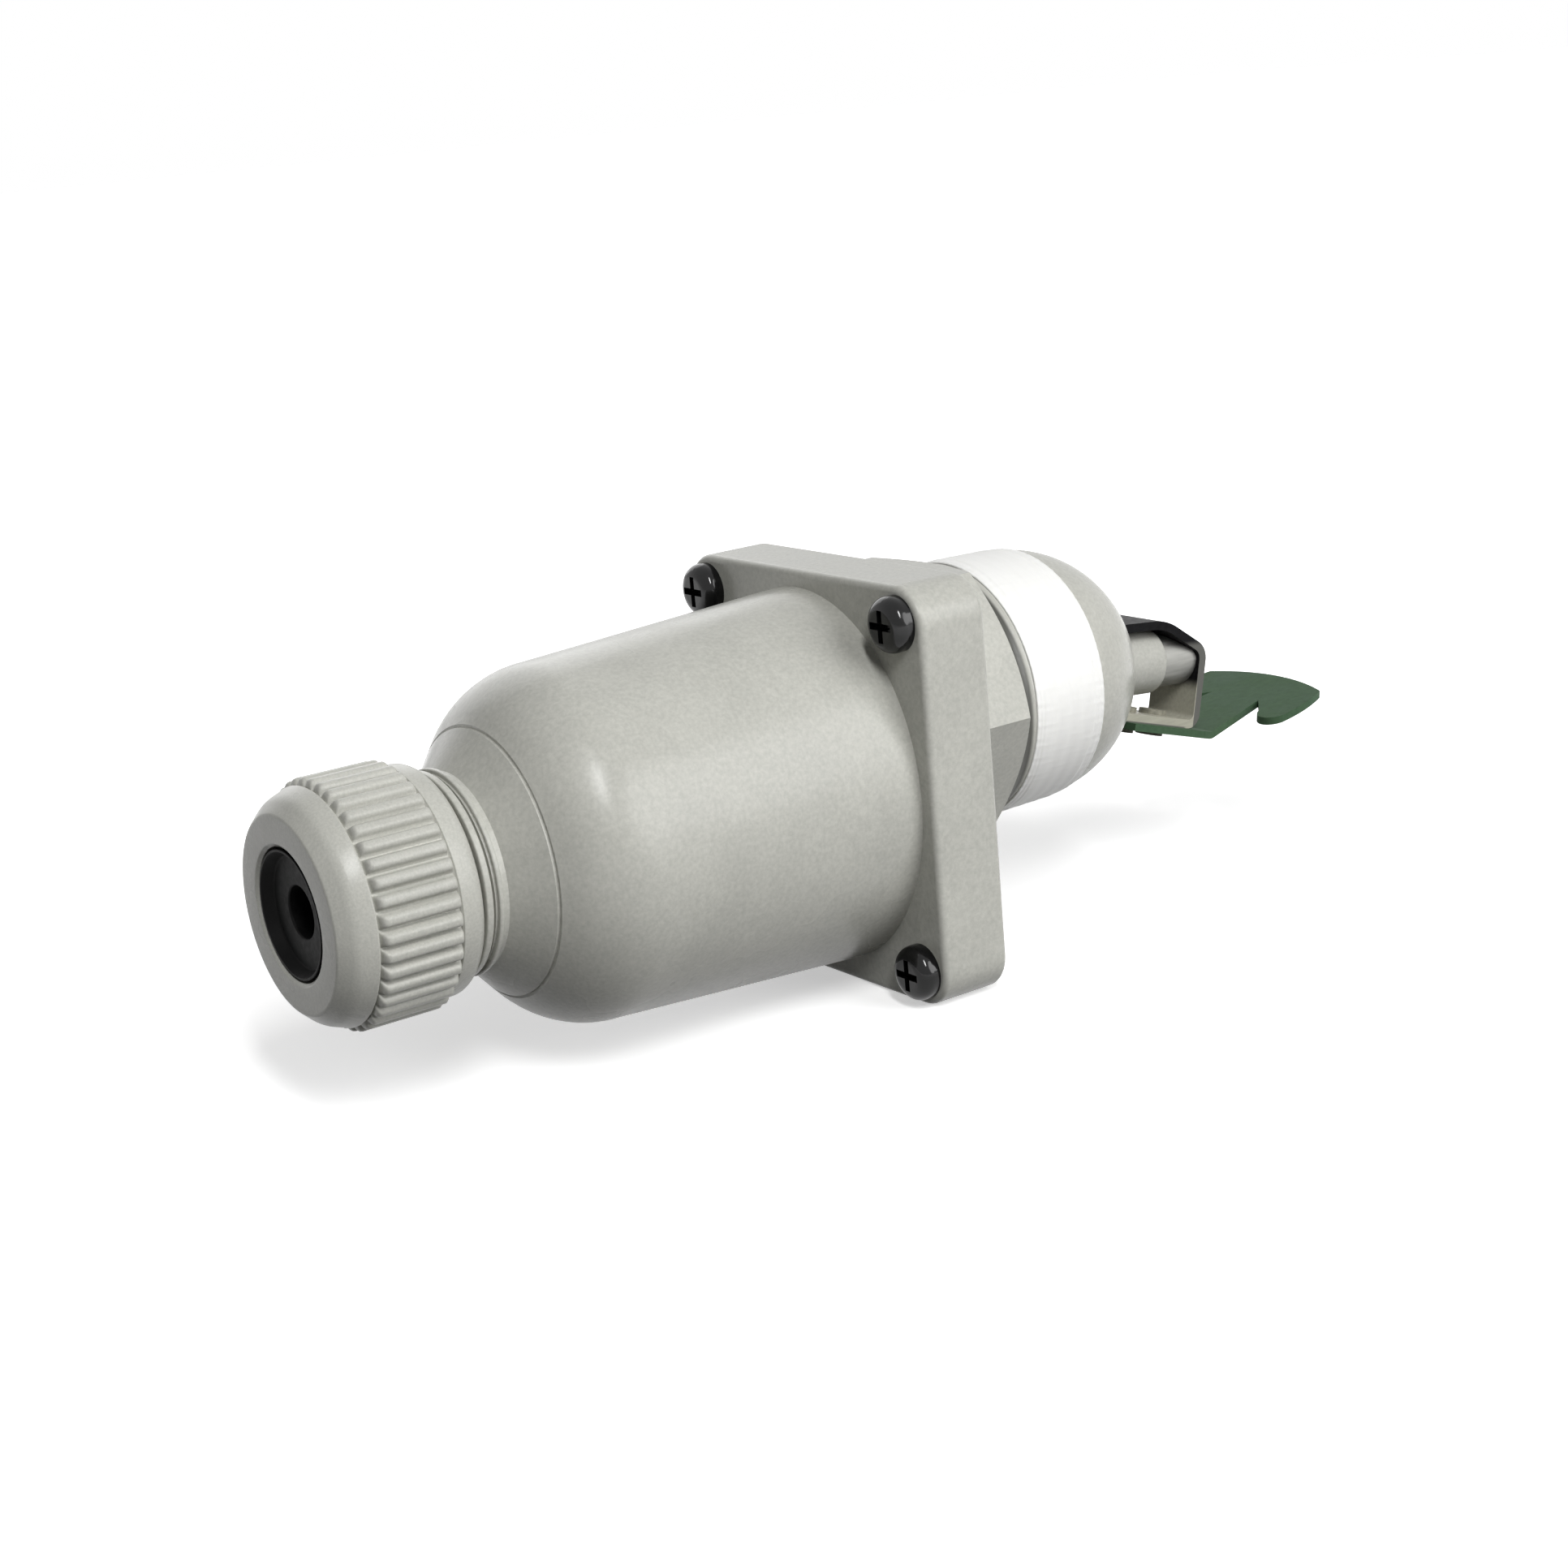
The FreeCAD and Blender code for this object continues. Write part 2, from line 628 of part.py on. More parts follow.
STIRRUP_LINE = [
    (STRIP_START, STRIP_TOP),
    (STRIP_KNEE, STRIP_TOP),
    (STRIP_END, STRIP_BEND),
    (STRIP_FOOT_X, STRIP_FOOT),
    (STRIP_START, STRIP_FOOT + STRIP_FOOT_RISE),
]
STIRRUP_RADII = [STRIP_KNEE_R, STRIP_BEND_R, STRIP_CORNER_R]


def stirrup_room():
    """Space inside the stirrup, a contact gap off its inner faces."""
    line = [V(x, 0, z) for x, z in STIRRUP_LINE]
    inner = strip_side(line, STIRRUP_RADII, -STRIP_THICKNESS / 2 - CONTACT)
    return across_y(side_edges(inner) + [Part.LineSegment(inner[-1], inner[0]).toShape()], STRIP_WIDTH)


def tenon_part(radius, start, length):
    """Cylinder square to the stirrup's end plate, from an offset outward of the plate's middle."""
    share = (STRIP_BEND + TENON_DROP) / STRIP_DROP
    plate = math.hypot(STRIP_DROP, STRIP_LEAN)
    outward = V(STRIP_DROP / plate, 0, -STRIP_LEAN / plate)
    centre = V(STRIP_END - share * STRIP_LEAN, 0, -TENON_DROP)
    return Part.makeCylinder(radius, length, centre + outward * start, outward)


def lever():
    rod = rod_x(ROD_R, 0, STRIP_KNEE)
    milled_end = rod_x(ROD_R, STRIP_KNEE, STRIP_END).common(stirrup_room())
    hub = rod_y(HUB_R, -HUB_LENGTH / 2, HUB_LENGTH / 2, 0, 0)
    lug = block((-LUG_FACE, -LUG_WIDTH / 2, 0), (0, LUG_WIDTH / 2, LUG_HEIGHT))
    tail = block(
        (-TAIL_LENGTH, -TAIL_WIDTH / 2, -TAIL_HEIGHT / 2),
        (0, TAIL_WIDTH / 2, TAIL_HEIGHT / 2),
    )
    tenon = tenon_part(TENON_R, -STRIP_THICKNESS / 2 - TENON_ROOT, STRIP_THICKNESS + TENON_ROOT)
    head = tenon_part(TENON_HEAD_R, STRIP_THICKNESS / 2, TENON_HEAD)
    outer_rim = max(head.Edges, key=lambda e: e.CenterOfMass.x)
    head = head.makeFillet(TENON_HEAD_ROUND, [outer_rim])
    shape = rod.fuse(milled_end).fuse(hub).fuse(lug).fuse(tail).fuse(tenon).fuse(head)
    shape = shape.cut(rod_y(PIN_R + PIN_FIT, -HUB_LENGTH, HUB_LENGTH, 0, 0))
    return drooped(shape.removeSplitter())


def stem_sleeve():
    centre = (SLEEVE_END - SLEEVE_ROUND, SLEEVE_END_R - SLEEVE_ROUND)
    sleeve = turned(
        (SLEEVE_START, ROD_R),
        [
            (SLEEVE_START, SLEEVE_ROOT_R),
            (SLEEVE_END - SLEEVE_ROUND, SLEEVE_END_R),
            arc(centre, SLEEVE_ROUND, 90, 0),
            (SLEEVE_END, ROD_R),
        ],
    )
    return drooped(sleeve)


def leaf_point(along, offset):
    """Point beside the stirrup's lower leaf: a length from its corner, and an offset below it."""
    back = (STRIP_START - STRIP_FOOT_X) / LEAF_LENGTH
    rise = STRIP_FOOT_RISE / LEAF_LENGTH
    return (STRIP_FOOT_X + along * back - offset * rise, STRIP_FOOT + along * rise + offset * back)


def rivet_part(share, radius, start, length):
    """Cylinder square to the lower leaf at a share of its length, from an offset below its middle."""
    top = leaf_point(share * LEAF_LENGTH, start)
    low = leaf_point(share * LEAF_LENGTH, start + length)
    axis = V(low[0] - top[0], 0, low[1] - top[1])
    return Part.makeCylinder(radius, length, V(top[0], 0, top[1]), axis)


def rivet_core(share):
    return rivet_part(share, RIVET_R, -STRIP_THICKNESS / 2, STRIP_THICKNESS + PADDLE_THICKNESS)


def paddle_rivet(share):
    upper = rivet_part(share, RIVET_HEAD_R, -STRIP_THICKNESS / 2 - RIVET_HEAD, RIVET_HEAD)
    lower = rivet_part(share, RIVET_HEAD_R, STRIP_THICKNESS / 2 + PADDLE_THICKNESS, RIVET_HEAD)
    return drooped(rivet_core(share).fuse(lower).fuse(upper).removeSplitter())


def paddle_stirrup():
    strip = bent_strip(STIRRUP_LINE, STIRRUP_RADII, STRIP_THICKNESS, STRIP_WIDTH)
    strip = strip.cut(tenon_part(TENON_R + HOLE_FIT, -STRIP_THICKNESS, 2 * STRIP_THICKNESS))
    for share in PADDLE_RIVETS:
        strip = strip.cut(rivet_core(share))
    return drooped(strip)


def paddle():
    bend = leaf_point(-PADDLE_BEND, LEAF_TO_PADDLE)
    tail = leaf_point(PADDLE_TAIL, LEAF_TO_PADDLE)
    rise = math.radians(PADDLE_RISE)
    beyond = (bend[0] + 2 * PADDLE_REACH * math.cos(rise), bend[1] + 2 * PADDLE_REACH * math.sin(rise))
    sheet = bent_strip([tail, bend, beyond], [PADDLE_BEND_R], PADDLE_THICKNESS, 4 * PADDLE_HALF)

    def half_outline(side):
        """Points of one half of the blade, from its root to its tip, as seen from above."""
        def at(along, half):
            return (bend[0] + along * math.cos(rise), side * half)
        return {
            "tail": (tail[0] - PADDLE_THICKNESS, side * PADDLE_TAIL_HALF),
            "root": at(-PADDLE_BEND, PADDLE_BEND_HALF),
            "notch": at(PADDLE_NOTCH, PADDLE_NOTCH_HALF),
            "barb_in": at(PADDLE_BARB + PADDLE_BARB_LENGTH, PADDLE_BARB_ROOT_HALF),
            "barb": at(PADDLE_BARB, PADDLE_BARB_HALF),
            "barb_out": at(PADDLE_BARB + PADDLE_BARB_LENGTH, PADDLE_HALF),
            "widest": at(PADDLE_WIDEST, PADDLE_HALF),
            "corner": at(PADDLE_TIP_CORNER, PADDLE_TIP_HALF),
            "tip": at(PADDLE_REACH, 0),
        }

    near = half_outline(1)
    far = half_outline(-1)
    steps = [near["root"], near["notch"], near["barb_in"], (near["barb"], near["barb_out"])]
    steps += [(near["widest"], near["corner"]), (near["tip"], far["corner"])]
    steps += [(far["widest"], far["barb_out"]), (far["barb"], far["barb_in"])]
    steps += [far["notch"], far["root"], far["tail"]]
    plan = outline(near["tail"], steps, lambda p: V(p[0], p[1], -2 * PADDLE_REACH))
    shape = sheet.common(Part.Face(plan).extrude(V(0, 0, 4 * PADDLE_REACH)))
    for share in PADDLE_RIVETS:
        shape = shape.cut(rivet_core(share))
    return drooped(shape)


# Pin that the lever rocks on, held in the body under the tape
def pivot_pin():
    half = math.sqrt(THREAD_R ** 2 - PIN_R ** 2)
    return rod_y(PIN_R, -half, half, PIVOT_X, 0)


# Push rod, its bush, seal and clip
def push_rod():
    reach = math.degrees(math.asin(PUSH_R / PUSH_CROWN_R))
    crown = PUSH_CROWN_R * (1 - math.cos(math.radians(reach)))
    steps = [
        (PUSH_REAR, PUSH_R),
        (PUSH_FRONT - crown, PUSH_R),
        arc((PUSH_FRONT - PUSH_CROWN_R, 0), PUSH_CROWN_R, reach, 0),
    ]
    return turned((PUSH_REAR, 0), steps, PUSH_HEIGHT)


def guide_bush():
    barrel = rod_x(BUSH_R, BUSH_REAR, WET_FACE - ROD_SEAL_LENGTH, 0, PUSH_HEIGHT)
    flange = rod_x(BUSH_FLANGE_R, BUSH_REAR, BUSH_SEAT, 0, PUSH_HEIGHT)
    bore = rod_x(PUSH_R + PIN_FIT, BUSH_REAR, WET_FACE, 0, PUSH_HEIGHT)
    return barrel.fuse(flange).cut(bore).removeSplitter()


def rod_seal():
    ring = rod_x(BUSH_R, WET_FACE - ROD_SEAL_LENGTH, WET_FACE, 0, PUSH_HEIGHT)
    return ring.cut(rod_x(PUSH_R + PIN_FIT, WET_FACE - ROD_SEAL_LENGTH, WET_FACE, 0, PUSH_HEIGHT))


def rod_clip():
    front = BUSH_REAR - CONTACT
    ring = rod_x(CLIP_R, front - CLIP_THICKNESS, front, 0, PUSH_HEIGHT)
    return ring.cut(rod_x(PUSH_R, front - CLIP_THICKNESS, front, 0, PUSH_HEIGHT))


# Return spring between a pocket in the chamber's floor and the lever's tail
def spring_top():
    middle = SPRING_OFFSET * math.sin(DROOP)
    dip = (SPRING_R + SPRING_WIRE_R) * math.tan(DROOP)
    return middle - TAIL_HEIGHT / 2 / math.cos(DROOP) - dip - CONTACT


def return_spring():
    """Coil of wire laid out as short straight chords, so that it stays light."""
    low = SPRING_FLOOR + SPRING_WIRE_R
    height = spring_top() - SPRING_WIRE_R - low
    chords = SPRING_TURNS * SPRING_CHORDS
    line = []
    for i in range(chords + 1):
        turn = 2 * math.pi * i / SPRING_CHORDS
        line.append(V(SPRING_R * math.cos(turn), SPRING_R * math.sin(turn), height * i / chords))
    outward = V(1, 0, 0)
    sideways = outward.cross(line[1] - line[0]).normalize()
    ring = hexagon_points(SPRING_WIRE_R, lambda a, b: line[0] + outward * a + sideways * b)
    spring = Part.makePolygon(line).makePipeShell([Part.makePolygon(ring)], True, False, 1)
    spring.translate(V(SPRING_X, 0, low))
    return spring


# Snap switch on its bracket, inside the cover
def case_hole_places():
    return [CASE_MIDDLE - CASE_HOLE_SPACING / 2, CASE_MIDDLE + CASE_HOLE_SPACING / 2]


def bracket_screw_places():
    y = BRACKET_SIDE + BRACKET_FOOT / 2
    middle = (BRACKET_FOOT_TOP + BRACKET_BOTTOM) / 2
    return [(y, middle - BRACKET_SCREW_SPACING / 2), (y, middle + BRACKET_SCREW_SPACING / 2)]


def switch_case():
    case = block((CASE_REAR, -CASE_SIDE, CASE_LOW), (CASE_FRONT, CASE_SIDE, CASE_TOP))
    bore_end = CASE_FRONT - 2 * PLUNGER_IN - PLUNGER_OUT
    case = case.cut(rod_x(PLUNGER_R + RUNNING, bore_end, CASE_FRONT, 0, PUSH_HEIGHT))
    for z in case_hole_places():
        case = case.cut(rod_y(CASE_HOLE_R, -CASE_WIDTH, CASE_WIDTH, CASE_HOLE_X, z))
    return case


def switch_plunger():
    return rod_x(PLUNGER_R, CASE_FRONT - PLUNGER_IN, CASE_FRONT + PLUNGER_OUT, 0, PUSH_HEIGHT)


def switch_terminal(i):
    z = CASE_MIDDLE + (i - 1) * TERMINAL_PITCH
    return block(
        (CASE_REAR - TERMINAL_LENGTH, -TERMINAL_WIDTH / 2, z - TERMINAL_THICKNESS / 2),
        (CASE_REAR, TERMINAL_WIDTH / 2, z + TERMINAL_THICKNESS / 2),
    )


def switch_bracket():
    seat = SEAM - BRACKET_THICKNESS
    leg = block((CASE_REAR, CASE_SIDE, BRACKET_BOTTOM), (SEAM, BRACKET_SIDE, BRACKET_FOOT_TOP))
    arm = block((CASE_REAR, CASE_SIDE, BRACKET_BOTTOM), (CASE_FRONT, BRACKET_SIDE, CASE_TOP))
    foot = block((seat, CASE_SIDE, BRACKET_BOTTOM), (SEAM, BRACKET_SIDE + BRACKET_FOOT, BRACKET_FOOT_TOP))
    shape = leg.fuse(arm).fuse(foot)
    for z in case_hole_places():
        shape = shape.cut(rod_y(CASE_HOLE_R, CASE_SIDE, BRACKET_SIDE, CASE_HOLE_X, z))
    for y, z in bracket_screw_places():
        shape = shape.cut(rod_x(BRACKET_SCREW_R + HOLE_FIT, seat, SEAM, y, z))
    return shape.removeSplitter()


def bracket_screw(y, z):
    seat = SEAM - BRACKET_THICKNESS
    head = rod_x(BRACKET_SCREW_HEAD_R, seat - BRACKET_SCREW_HEAD, seat, y, z)
    shank = rod_x(BRACKET_SCREW_R, seat, SEAM + BRACKET_SCREW_DEPTH, y, z)
    return head.fuse(shank).removeSplitter()


def switch_screw(z):
    end = BRACKET_SIDE + SMALL_NUT_HEIGHT
    head = rod_y(BRACKET_SCREW_HEAD_R, -CASE_SIDE - BRACKET_SCREW_HEAD, -CASE_SIDE, CASE_HOLE_X, z)
    shank = rod_y(CASE_HOLE_R - HOLE_FIT, -CASE_SIDE, end, CASE_HOLE_X, z)
    return head.fuse(shank).removeSplitter()


def switch_nut(z):
    points = hexagon_points(SMALL_NUT_R, lambda a, b: V(CASE_HOLE_X + a, BRACKET_SIDE, z + b))
    nut = Part.Face(Part.makePolygon(points)).extrude(V(0, SMALL_NUT_HEIGHT, 0))
    return nut.cut(rod_y(CASE_HOLE_R, BRACKET_SIDE, BRACKET_SIDE + SMALL_NUT_HEIGHT, CASE_HOLE_X, z))


save("cover", cover())
save("body", body())
save("cover_gasket", gasket_ring(HOLE_FIT))
save("thread_tape", thread_tape())
save("cover_screws", Part.makeCompound([cover_screw(y, z) for y, z in screw_places()]))
save("gland_nut", gland_nut())
save("gland_slip_ring", gland_slip_ring())
save("gland_seal", gland_seal())
save("lever", lever())
save("stem_sleeve", stem_sleeve())
save("pivot_pin", pivot_pin())
save("paddle_stirrup", paddle_stirrup())
save("paddle", paddle())
save("paddle_rivets", Part.makeCompound([paddle_rivet(share) for share in PADDLE_RIVETS]))
save("push_rod", push_rod())
save("rod_clip", rod_clip())
save("guide_bush", guide_bush())
save("rod_seal", rod_seal())
save("return_spring", return_spring())
save("switch_case", switch_case())
save("switch_plunger", switch_plunger())
save("switch_terminals", Part.makeCompound([switch_terminal(i) for i in range(3)]))
save("switch_bracket", switch_bracket())
save("bracket_screws", Part.makeCompound([bracket_screw(y, z) for y, z in bracket_screw_places()]))
save("switch_screws", Part.makeCompound([switch_screw(z) for z in case_hole_places()]))
save("switch_nuts", Part.makeCompound([switch_nut(z) for z in case_hole_places()]))
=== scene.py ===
import math

import bpy
import numpy as np
from mathutils import Matrix, Vector


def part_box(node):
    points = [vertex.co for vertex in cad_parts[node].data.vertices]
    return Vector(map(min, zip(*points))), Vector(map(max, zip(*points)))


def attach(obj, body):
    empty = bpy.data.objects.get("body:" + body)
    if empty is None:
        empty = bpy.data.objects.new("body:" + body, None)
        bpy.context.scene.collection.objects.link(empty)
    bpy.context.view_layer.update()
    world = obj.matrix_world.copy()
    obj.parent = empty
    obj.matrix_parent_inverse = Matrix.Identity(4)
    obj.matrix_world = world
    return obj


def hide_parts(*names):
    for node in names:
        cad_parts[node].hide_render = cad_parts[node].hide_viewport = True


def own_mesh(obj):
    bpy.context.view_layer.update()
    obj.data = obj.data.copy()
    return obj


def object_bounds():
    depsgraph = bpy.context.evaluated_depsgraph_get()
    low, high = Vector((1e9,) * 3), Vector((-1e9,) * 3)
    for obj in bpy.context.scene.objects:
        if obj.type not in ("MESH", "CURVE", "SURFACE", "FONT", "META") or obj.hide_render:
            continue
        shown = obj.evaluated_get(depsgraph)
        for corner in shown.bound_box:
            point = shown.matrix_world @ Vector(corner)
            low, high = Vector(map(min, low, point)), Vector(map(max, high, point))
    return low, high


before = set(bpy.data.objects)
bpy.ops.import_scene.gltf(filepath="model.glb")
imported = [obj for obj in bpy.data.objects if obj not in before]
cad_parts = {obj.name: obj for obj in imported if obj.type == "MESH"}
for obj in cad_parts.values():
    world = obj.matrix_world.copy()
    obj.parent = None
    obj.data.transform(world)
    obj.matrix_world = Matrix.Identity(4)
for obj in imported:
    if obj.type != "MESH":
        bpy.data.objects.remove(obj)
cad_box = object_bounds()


# Body: the grey moulding with the rear flange, the hexagon, the pipe thread and the domed nose.
# Glass-filled nylon, injection moulded; the mould leaves a fine satin grain, and the flow of the melt
# leaves faint clouds of colour and gloss.
MM = 0.001
HOUSING_GREY = (0.46, 0.46, 0.42)
NOISE_LOW, NOISE_HIGH = 0.3, 0.7


class Finish:
    """A finish in the making: a material and its shader, with texture nodes added and joined by name."""

    def __init__(self, name):
        self.material = bpy.data.materials.new(name)
        self.material.use_nodes = True
        self.tree = self.material.node_tree
        self.tree.nodes.clear()
        self.shader = self.add("BsdfPrincipled")
        self.surface = self.add("OutputMaterial", {"Surface": self.shader.outputs["BSDF"]})
        self.place = self.add("TexCoord").outputs["Object"]

    def add(self, kind, links=None, **values):
        node = self.tree.nodes.new("ShaderNode" + kind)
        for key, value in values.items():
            if key in node.inputs:
                node.inputs[key].default_value = value
            else:
                setattr(node, key, value)
        for key, source in (links or {}).items():
            self.tree.links.new(source, node.inputs[key])
        return node

    def join(self, source, socket):
        self.tree.links.new(source, self.shader.inputs[socket])

    def even(self, socket, value):
        self.shader.inputs[socket].default_value = value

    def between(self, source, low, high):
        """A number that goes from low to high over the usual range of a noise."""
        scaled = self.add("MapRange", {"Value": source})
        limits = {"From Min": NOISE_LOW, "From Max": NOISE_HIGH, "To Min": low, "To Max": high}
        for key, value in limits.items():
            scaled.inputs[key].default_value = value
        return scaled.outputs["Result"]

    def speckle(self, size_mm, dark, light, detail=3.0, stretch=(1, 1, 1)):
        """A colour that wanders between two values in specks of a given size, and the height behind it."""
        drawn = self.add("Mapping", {"Vector": self.place}, Scale=stretch)
        noise = self.add("TexNoise", {"Vector": drawn.outputs["Vector"]}, Detail=detail, Roughness=0.6)
        noise.inputs["Scale"].default_value = 1 / (size_mm * MM)
        ramp = self.add("ValToRGB", {"Fac": noise.outputs["Fac"]})
        for stop, position, colour in zip(ramp.color_ramp.elements, (NOISE_LOW, NOISE_HIGH), (dark, light)):
            stop.position = position
            stop.color = (*colour, 1)
        return ramp.outputs["Color"], noise.outputs["Fac"]

    def times(self, first, second):
        mixed = self.add("MixRGB", {"Color1": first, "Color2": second}, blend_type="MULTIPLY", Fac=1.0)
        return mixed.outputs["Color"]

    def grain(self, height, strength, depth_mm):
        bump = self.add("Bump", {"Height": height}, Strength=strength, Distance=depth_mm * MM)
        self.join(bump.outputs["Normal"], "Normal")


def moulded_plastic(name, colour, grain_mm=0.55, rough=0.25, spread=0.09):
    """Satin moulding: a fine grain in colour and height, under broad clouds in colour and gloss."""
    finish = Finish(name)
    dark = [c * (1 - spread) for c in colour]
    light = [c * (1 + spread) for c in colour]
    fine, height = finish.speckle(grain_mm, dark, light)
    cloud, broad = finish.speckle(9.0, (0.95,) * 3, (1.03,) * 3, 2.0)
    finish.join(finish.times(fine, cloud), "Base Color")
    finish.join(finish.between(broad, rough - 0.04, rough + 0.06), "Roughness")
    finish.even("Specular IOR Level", 0.24)
    finish.grain(height, 0.3, 0.03)
    return finish.material


def dress(material, *names):
    for name in names:
        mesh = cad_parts[name].data
        mesh.materials.clear()
        mesh.materials.append(material)


housing_grey = moulded_plastic("housing_grey_moulding", HOUSING_GREY)
dress(housing_grey, "body")


# Bare thread: the turn of the pipe thread that the tape leaves free, next to the hexagon.
# Moulded with the body; its valleys are darkened with painted shade.
BARE_ROUND = 360
BARE_ACROSS = 25
THREAD_PITCH = 2.309
BARE_FROM, BARE_TO = -7.93, -5.9
VALLEY_R, CREST_R = 16.71, 16.98
BARE_PHASE = 0.62
BARE_DEPTH = 0.3
# Painted shade: the colour of the thread's valleys.
VALLEY_PAINTED_SHADE = (0.05, 0.05, 0.042)


def bare_thread():
    """A closed band for an angle round the thread and a share across the bare strip. The outer skin is a
    raised cosine of the share of a turn, to the power 1.5 for a narrow crest, so that the crest climbs as
    a helix; the inner skin is a plain cylinder."""
    around = np.linspace(0, 2 * np.pi, BARE_ROUND, endpoint=False)[:, None]
    along = np.linspace(BARE_FROM, BARE_TO, BARE_ACROSS)[None, :] + 0 * around
    turn = (along - BARE_FROM) / THREAD_PITCH - around / (2 * np.pi) + BARE_PHASE
    crest = (0.5 + 0.5 * np.cos(2 * np.pi * turn)) ** 1.5
    outer = VALLEY_R + (CREST_R - VALLEY_R) * crest
    radius = np.hstack([outer, np.full_like(outer, VALLEY_R - BARE_DEPTH)[:, ::-1]])
    along = np.hstack([along, along[:, ::-1]])
    return np.stack([along, radius * np.cos(around), radius * np.sin(around)], axis=-1)


def new_piece(name, points, material, body, looped=True):
    """A mesh from a grid of points whose columns run round, on the body that carries it. Its rows run round
    too where it is looped, and otherwise its first and last rows are capped."""
    rows, columns = points.shape[:2]
    index = np.arange(rows * columns).reshape(rows, columns)
    caps = [] if looped else [index[0].tolist(), index[-1, ::-1].tolist()]
    if looped:
        index = np.vstack([index, index[:1]])
    index = np.hstack([index, index[:, :1]])
    faces = np.stack([index[:-1, :-1], index[1:, :-1], index[1:, 1:], index[:-1, 1:]], axis=-1).reshape(-1, 4)
    faces = faces.tolist() + caps
    mesh = bpy.data.meshes.new(name)
    mesh.from_pydata((points.reshape(-1, 3) * MM).tolist(), [], faces)
    mesh.polygons.foreach_set("use_smooth", np.ones(len(faces), dtype=bool))
    mesh.materials.append(material)
    mesh.update()
    piece = bpy.data.objects.new(name, mesh)
    bpy.context.scene.collection.objects.link(piece)
    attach(piece, body)
    return piece


def ramp_up(finish, value, low, high):
    """A smooth step from 0 to 1 as a value goes from low to high."""
    step = finish.add("MapRange", {"Value": value}, interpolation_type="SMOOTHSTEP")
    step.inputs["From Min"].default_value = low
    step.inputs["From Max"].default_value = high
    return step.outputs["Result"]


thread = Finish("bare_thread_moulding")
flat = thread.add("Mapping", {"Vector": thread.place}, Scale=(0, 1, 1))
reach = thread.add("VectorMath", {0: flat.outputs["Vector"]}, operation="LENGTH").outputs["Value"]
# Painted shade: dark in the valleys and grey towards the crests, by the distance from the axis.
unshaded_grey, thread_height = thread.speckle(0.4, [c * 0.9 for c in HOUSING_GREY], HOUSING_GREY)
shown = ramp_up(thread, reach, (VALLEY_R + 0.02) * MM, (CREST_R - 0.06) * MM)
mixed = thread.add("MixRGB", {"Color2": unshaded_grey, "Fac": shown}, Color1=(*VALLEY_PAINTED_SHADE, 1))
thread.join(mixed.outputs["Color"], "Base Color")
thread.join(thread.between(thread_height, 0.3, 0.45), "Roughness")
thread.grain(thread_height, 0.2, 0.02)
new_piece("bare_thread_turn", bare_thread(), thread.material, "housing")


# Guide bush: the turned brass bush in the body's wall, which the push rod runs in.
# Pressed in from the dry side up to its flange; the lathe leaves fine rings round it.
def turned_metal(name, colour, rough, stretch):
    """Bare metal: scratches drawn out along one direction, in colour, gloss and height."""
    finish = Finish(name)
    dark = [c * 0.82 for c in colour]
    light = [min(1, c * 1.1) for c in colour]
    scratch, height = finish.speckle(0.25, dark, light, 4.0, stretch)
    finish.join(scratch, "Base Color")
    finish.join(finish.between(height, rough - 0.06, rough + 0.1), "Roughness")
    finish.even("Metallic", 1.0)
    finish.grain(height, 0.12, 0.02)
    return finish.material


ALONG_X = (0.12, 1.0, 1.0)
ROUND_X = (1.0, 0.3, 0.3)
dress(turned_metal("turned_brass", (0.62, 0.45, 0.2), 0.3, ROUND_X), "guide_bush")


# Rod seal: a soft ring that keeps water out of the dry side, in a groove behind the bush.
# Moulded black rubber, dull, with a faint bloom.
def dull_skin(name, colour, rough, bloom_mm=0.8, specular=0.35):
    """A dark skin with a faint bloom in colour and gloss."""
    finish = Finish(name)
    bloom, height = finish.speckle(bloom_mm, colour, [c * 1.8 for c in colour])
    finish.join(bloom, "Base Color")
    finish.join(finish.between(height, rough - 0.06, rough + 0.08), "Roughness")
    finish.even("Specular IOR Level", specular)
    finish.grain(height, 0.12, 0.02)
    return finish.material


black_rubber = dull_skin("black_seal_rubber", (0.010, 0.010, 0.010), 0.42)
dress(black_rubber, "rod_seal")


# Push rod and its clip: the thin rod from the lever's lug to the switch, and the ring that keeps it in.
# Stainless steel, drawn and ground along its length; the clip is pressed from sheet.
stainless = turned_metal("drawn_stainless", (0.56, 0.56, 0.53), 0.28, ALONG_X)
dress(stainless, "push_rod", "rod_clip")


# Lever and pivot pin: the rocking rod with its hub, lug and tail, on a pin through the body.
# Stainless steel; the rod's end is peened over behind the stirrup's end plate.
lever_steel = turned_metal("ground_lever_steel", (0.25, 0.25, 0.235), 0.5, (0.05, 0.6, 0.6))
dress(lever_steel, "lever", "pivot_pin")


# Return spring: the small coil under the lever's tail that holds the paddle down.
# Bright drawn spring wire with its end turns closed; the tail squeezes it as the paddle lifts.
SPRING_LOW, SPRING_HIGH = (np.array(corner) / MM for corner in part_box("return_spring"))
WIRE_R = 0.4
WIRE_ROUND = 12
COIL_TURNS = 6
TURN_STEPS = 48
END_EASE = 0.08


